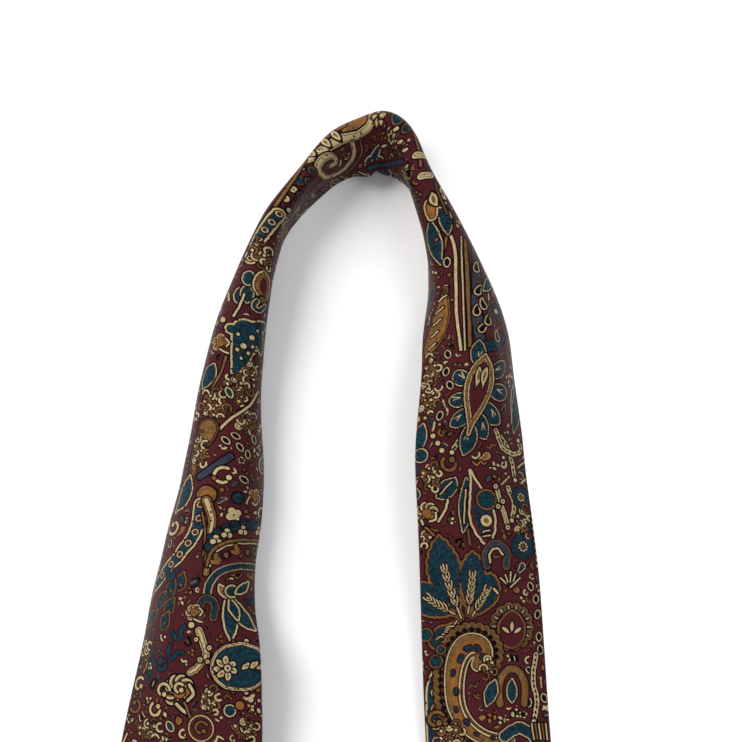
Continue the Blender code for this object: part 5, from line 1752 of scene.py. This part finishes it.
for row in (
        ("stitches_neck_front", CUT_F1, S_F0 + 168 * MM, NECK_BEND, "slip_stitch_neck_front"),
        ("stitches_neck_tail", 88 * MM, CUT_T1, NECK_BEND, "slip_stitch_neck_tail"),
        ("stitches_front_upper", CUT_F2, CUT_F1, FRONT_FOLD, "slip_stitch_front_upper"),
        ("stitches_front_middle", S_OPEN_F + 6 * MM, CUT_F2, FRONT_LOWER_FOLD,
         "slip_stitch_front_lower"),
        ("stitches_tail_upper", CUT_T1, CUT_T2, TAIL_FOLD, "slip_stitch_tail_upper"),
        ("stitches_tail_point", CUT_T2, S_OPEN_T - 6 * MM, TAIL_TIP_FOLD,
         "slip_stitch_tail_tip")):
    slip_stitch(*row)


def seam_thread(name, seam, bend, replaced):
    """Little bites of thread deep in the diagonal seam."""
    lines = []
    for centre in np.arange(-17, 18, 2.4):
        x = centre + np.linspace(-0.75, 0.75, 5)
        lines.append(strip(seam + SLANT * x * MM, x * MM, HALF - 0.26 * MM))
    threads(name, lines, 0.10 * MM, bend, replaced, sides=5)


seam_thread("seam_bites_front", SEAM_F, FRONT_FOLD, "neck_seam_thread_front")
seam_thread("seam_bites_tail", SEAM_T, TAIL_FOLD, "neck_seam_thread_tail")


def bar_tack(name, s0, half_x, half_s, body, replaced):
    """A dense bar of seven threads across the top of a point's opening."""
    lines = []
    t = np.linspace(-1, 1, 9)
    for k in np.linspace(-1, 1, 7):
        s = s0 + half_s * k + 0.10 * MM * np.sin(3 * t + 5 * k)
        lines.append(strip(s, half_x * t, -(HALF + 0.22 * MM) + 0.22 * MM * np.abs(t) ** 5))
    threads(name, lines, 0.13 * MM, body, replaced)


bar_tack("bar_tack_front", S_OPEN_F + 4 * MM, 2.4 * MM, 0.8 * MM, "front_lower", "front_bar_tack")
bar_tack("bar_tack_tail", S_OPEN_T - 4 * MM, 2.2 * MM, 0.7 * MM, "tail_tip", "tail_bar_tack")


def ribbon(name, s0, half_s, half_x, clear, thick, bow=0.0):
    """A woven strap on the back; bow lifts its middle clear. Returns it and its ribbon
    coordinates (mm across the tie, along it, from the edge)."""
    t, q = np.linspace(-1, 1, 41)[:, None], np.linspace(-1, 1, 61)[None, :]
    shape = (t.size, q.size)
    s, x = s0 + half_s * t, np.broadcast_to(half_x * q, shape)
    lift = (-(HALF + clear) - bow * (np.cos(q * math.pi) * 0.5 + 0.5)
            + 0.16 * MM * np.abs(q) ** 12 + 0.05 * MM * np.cos(3 * math.pi * t) * np.cos(q * 5))
    piece = closed(name, strip(s, x, lift - thick), strip(s, x, lift), flip=True)
    place_ = np.zeros((*shape, 3))
    place_[..., 0], place_[..., 1] = half_x * q / MM, half_s * t / MM
    place_[..., 2] = np.minimum(half_x / MM - np.abs(place_[..., 0]),
                                half_s / MM - np.abs(place_[..., 1]))
    vector_attribute(piece, "ribbon", np.vstack([place_.reshape(-1, 3)] * 2))
    return piece, place_


S_KEEPER = S_FRONT_LOWER + 34 * MM
S_LABEL = S_KEEPER + 44 * MM
S_TAG = S_LABEL + 38 * MM


def keeper():
    """The strap, cut from the same printed silk at a chosen place in the cloth."""
    piece, fabric = ribbon("keeper_strap", S_KEEPER, half_s=7.5 * MM, half_x=25 * MM,
                           clear=0.10 * MM, thick=0.30 * MM, bow=0.35 * MM)
    fabric = fabric + (11, -421, 0)
    ink_attributes(piece, paint(fabric[..., 0], fabric[..., 1])[0], copies=2)
    fabric[..., 2] = 0
    vector_attribute(piece, "fabric", np.vstack([fabric.reshape(-1, 3)] * 2))
    finish(piece, SILK_LOOK, "front_upper", "keeper_loop")


keeper()
label, _ = ribbon("woven_blank_label", S_LABEL, half_s=21 * MM, half_x=21 * MM,
                  clear=0.08 * MM, thick=0.22 * MM)
finish(label, LABEL_LOOK, "front_upper", "blank_label")


def edge_stitches(name, x, s0, half_run, replaced):
    """A row of stitches along one end of a strap; x and half_run in mm."""
    t = np.linspace(-1, 1, 7)
    depth = -(HALF + 0.44 * MM) + 0.22 * MM * np.abs(t) ** 4
    lines = [strip(s0 + (centre + 0.85 * t) * MM, x * MM, depth)
             for centre in np.arange(-half_run + 1.2, half_run - 1.0, 2.6)]
    threads(name, lines, 0.13 * MM, "front_upper", replaced)


edge_stitches("keeper_stitches_inner", -22.6, S_KEEPER, 5.4, "keeper_tack_inner")
edge_stitches("keeper_stitches_outer", 22.6, S_KEEPER, 5.4, "keeper_tack_outer")
edge_stitches("label_stitches_inner", -19.6, S_LABEL, 19.6, "label_stitch_inner")
edge_stitches("label_stitches_outer", 19.6, S_LABEL, 19.6, "label_stitch_outer")


def care_tag():
    """A tape that runs from its hinge along the strip's heading."""
    length, half_width, half_thick = 26, 8, 0.12 * MM
    dx, dy = (float(v) for v in path(S_TAG)[2:])
    heading, sideways = np.array([dx, dy, 0.0]), np.array([-dy, dx, 0.0])
    t, q = np.linspace(0, 1, 45), np.linspace(-1, 1, 25)
    low = (pivot_of("care_tag_flap")
           + heading * (0.5 * MM + t * length * MM)[:, None, None]
           + sideways * (q * half_width * MM)[None, :, None])
    wave = 0.05 * MM * np.sin(t * 7)[:, None] * np.cos(q * 2)[None, :]
    high = low.copy()
    low[..., 2] += wave - half_thick
    high[..., 2] += wave + half_thick
    piece = closed("care_tag_tape", low, high, flip=True)
    v = np.zeros(low.shape)
    v[..., 0], v[..., 1] = (t * length)[:, None], (q * half_width)[None, :]
    v[..., 2] = np.minimum(half_width - np.abs(v[..., 1]),
                           np.minimum(v[..., 0], length - v[..., 0]) + 0.6)
    vector_attribute(piece, "ribbon", np.vstack([v.reshape(-1, 3)] * 2))
    finish(piece, TAG_LOOK, "care_tag", "care_tag")


def spare_thread():
    """The spare end of the slip stitch: an open loop in the point's opening."""
    angles = np.linspace(0.12 * math.pi, 1.88 * math.pi, 40)
    line = strip(S_OPEN_F - 16 * MM + 7 * MM * np.cos(angles), 2.6 * MM * np.sin(angles), -0.5 * MM)
    line[:, 2] = 0.72 * MM + 0.12 * MM * np.sin(3 * angles)
    threads("spare_thread_end", [line], 0.13 * MM, "front_lower", "spare_thread_loop", sides=8)


care_tag()
spare_thread()


# ------------------------------------------------------------ floor, light
def floor_material():
    g = Graph("pale_floor")
    place_ = g.node("ShaderNodeTexCoord", {}).outputs["Object"]
    color = g.fade(g.noise(place_, scale=3.0, detail=2.0), span=(0.3, 0.7),
                   low=(0.90, 0.90, 0.905), high=(0.915, 0.915, 0.915))
    return g.surface({"Base Color": color, "Roughness": 0.9, "Specular IOR Level": 0.1})


def add_floor(reach=6.0, z=-0.0004):
    mesh = bpy.data.meshes.new("floor")
    corners = [(-reach, -reach, z), (reach, -reach, z), (reach, reach, z), (-reach, reach, z)]
    mesh.from_pydata(corners, [], [(0, 1, 2, 3)])
    floor = bpy.data.objects.new("floor", mesh)
    mesh.materials.append(floor_material())
    bpy.context.scene.collection.objects.link(floor)


def add_world():
    """A dim world for lighting that looks bright to the camera."""
    world = bpy.data.worlds.new("studio")
    bpy.context.scene.world = world
    world.use_nodes = True
    tree = world.node_tree
    lit = next(n for n in tree.nodes if n.type == "BACKGROUND")
    lit.inputs["Color"].default_value = (0.96, 0.98, 1.0, 1.0)
    lit.inputs["Strength"].default_value = 0.17
    shown = tree.nodes.new("ShaderNodeBackground")
    shown.inputs["Color"].default_value = (0.97, 0.97, 0.975, 1.0)
    ray = tree.nodes.new("ShaderNodeLightPath")
    both = tree.nodes.new("ShaderNodeMixShader")
    output = next(n for n in tree.nodes if n.type == "OUTPUT_WORLD")
    tree.links.new(ray.outputs["Is Camera Ray"], both.inputs[0])
    tree.links.new(lit.outputs[0], both.inputs[1])
    tree.links.new(shown.outputs[0], both.inputs[2])
    tree.links.new(both.outputs[0], output.inputs["Surface"])


def add_sun(name, towards, floor_level, angle, color, clear_of=()):
    """A broad soft lamp that gives the floor floor_level; pieces whose names hold a word
    of clear_of cast no shadow from it."""
    direction = Vector(towards).normalized()
    lamp = bpy.data.lights.new(name, "SUN")
    lamp.energy = floor_level * math.pi / (0.9 * direction.z)
    lamp.angle = math.radians(angle)
    lamp.color = color
    light = bpy.data.objects.new(name, lamp)
    light.rotation_euler = direction.to_track_quat("Z", "Y").to_euler()
    bpy.context.scene.collection.objects.link(light)
    blockers = bpy.data.collections.new(name + "_blockers")
    for piece in bpy.context.scene.objects:
        if piece.type == "MESH" and not any(word in piece.name for word in clear_of):
            blockers.objects.link(piece)
    light.light_linking.blocker_collection = blockers


def add_camera():
    lens = bpy.data.cameras.new("camera")
    lens.lens, lens.sensor_width, lens.sensor_fit = LENS, 36.0, "HORIZONTAL"
    lens.clip_start, lens.clip_end = 0.02, 50
    camera = bpy.data.objects.new("camera", lens)
    camera.location = Vector(EYE)
    camera.rotation_euler = (Vector(TARGET) - Vector(EYE)).to_track_quat("-Z", "Y").to_euler()
    bpy.context.scene.collection.objects.link(camera)
    bpy.context.scene.camera = camera
    bpy.context.scene.view_settings.view_transform = "Standard"


add_floor()
add_world()
add_sun("lamp_left", towards=(-0.68, 0.36, 0.74), floor_level=0.62, angle=40,
        color=(1.0, 0.985, 0.965), clear_of=("tail",))
add_sun("lamp_right", towards=(0.70, 0.36, 0.80), floor_level=0.26, angle=40,
        color=(0.975, 0.985, 1.0), clear_of=("front", "neck_front"))
add_sun("lamp_front", towards=(0.12, -0.62, 0.88), floor_level=0.12, angle=60,
        color=(1.0, 1.0, 1.0))
add_camera()
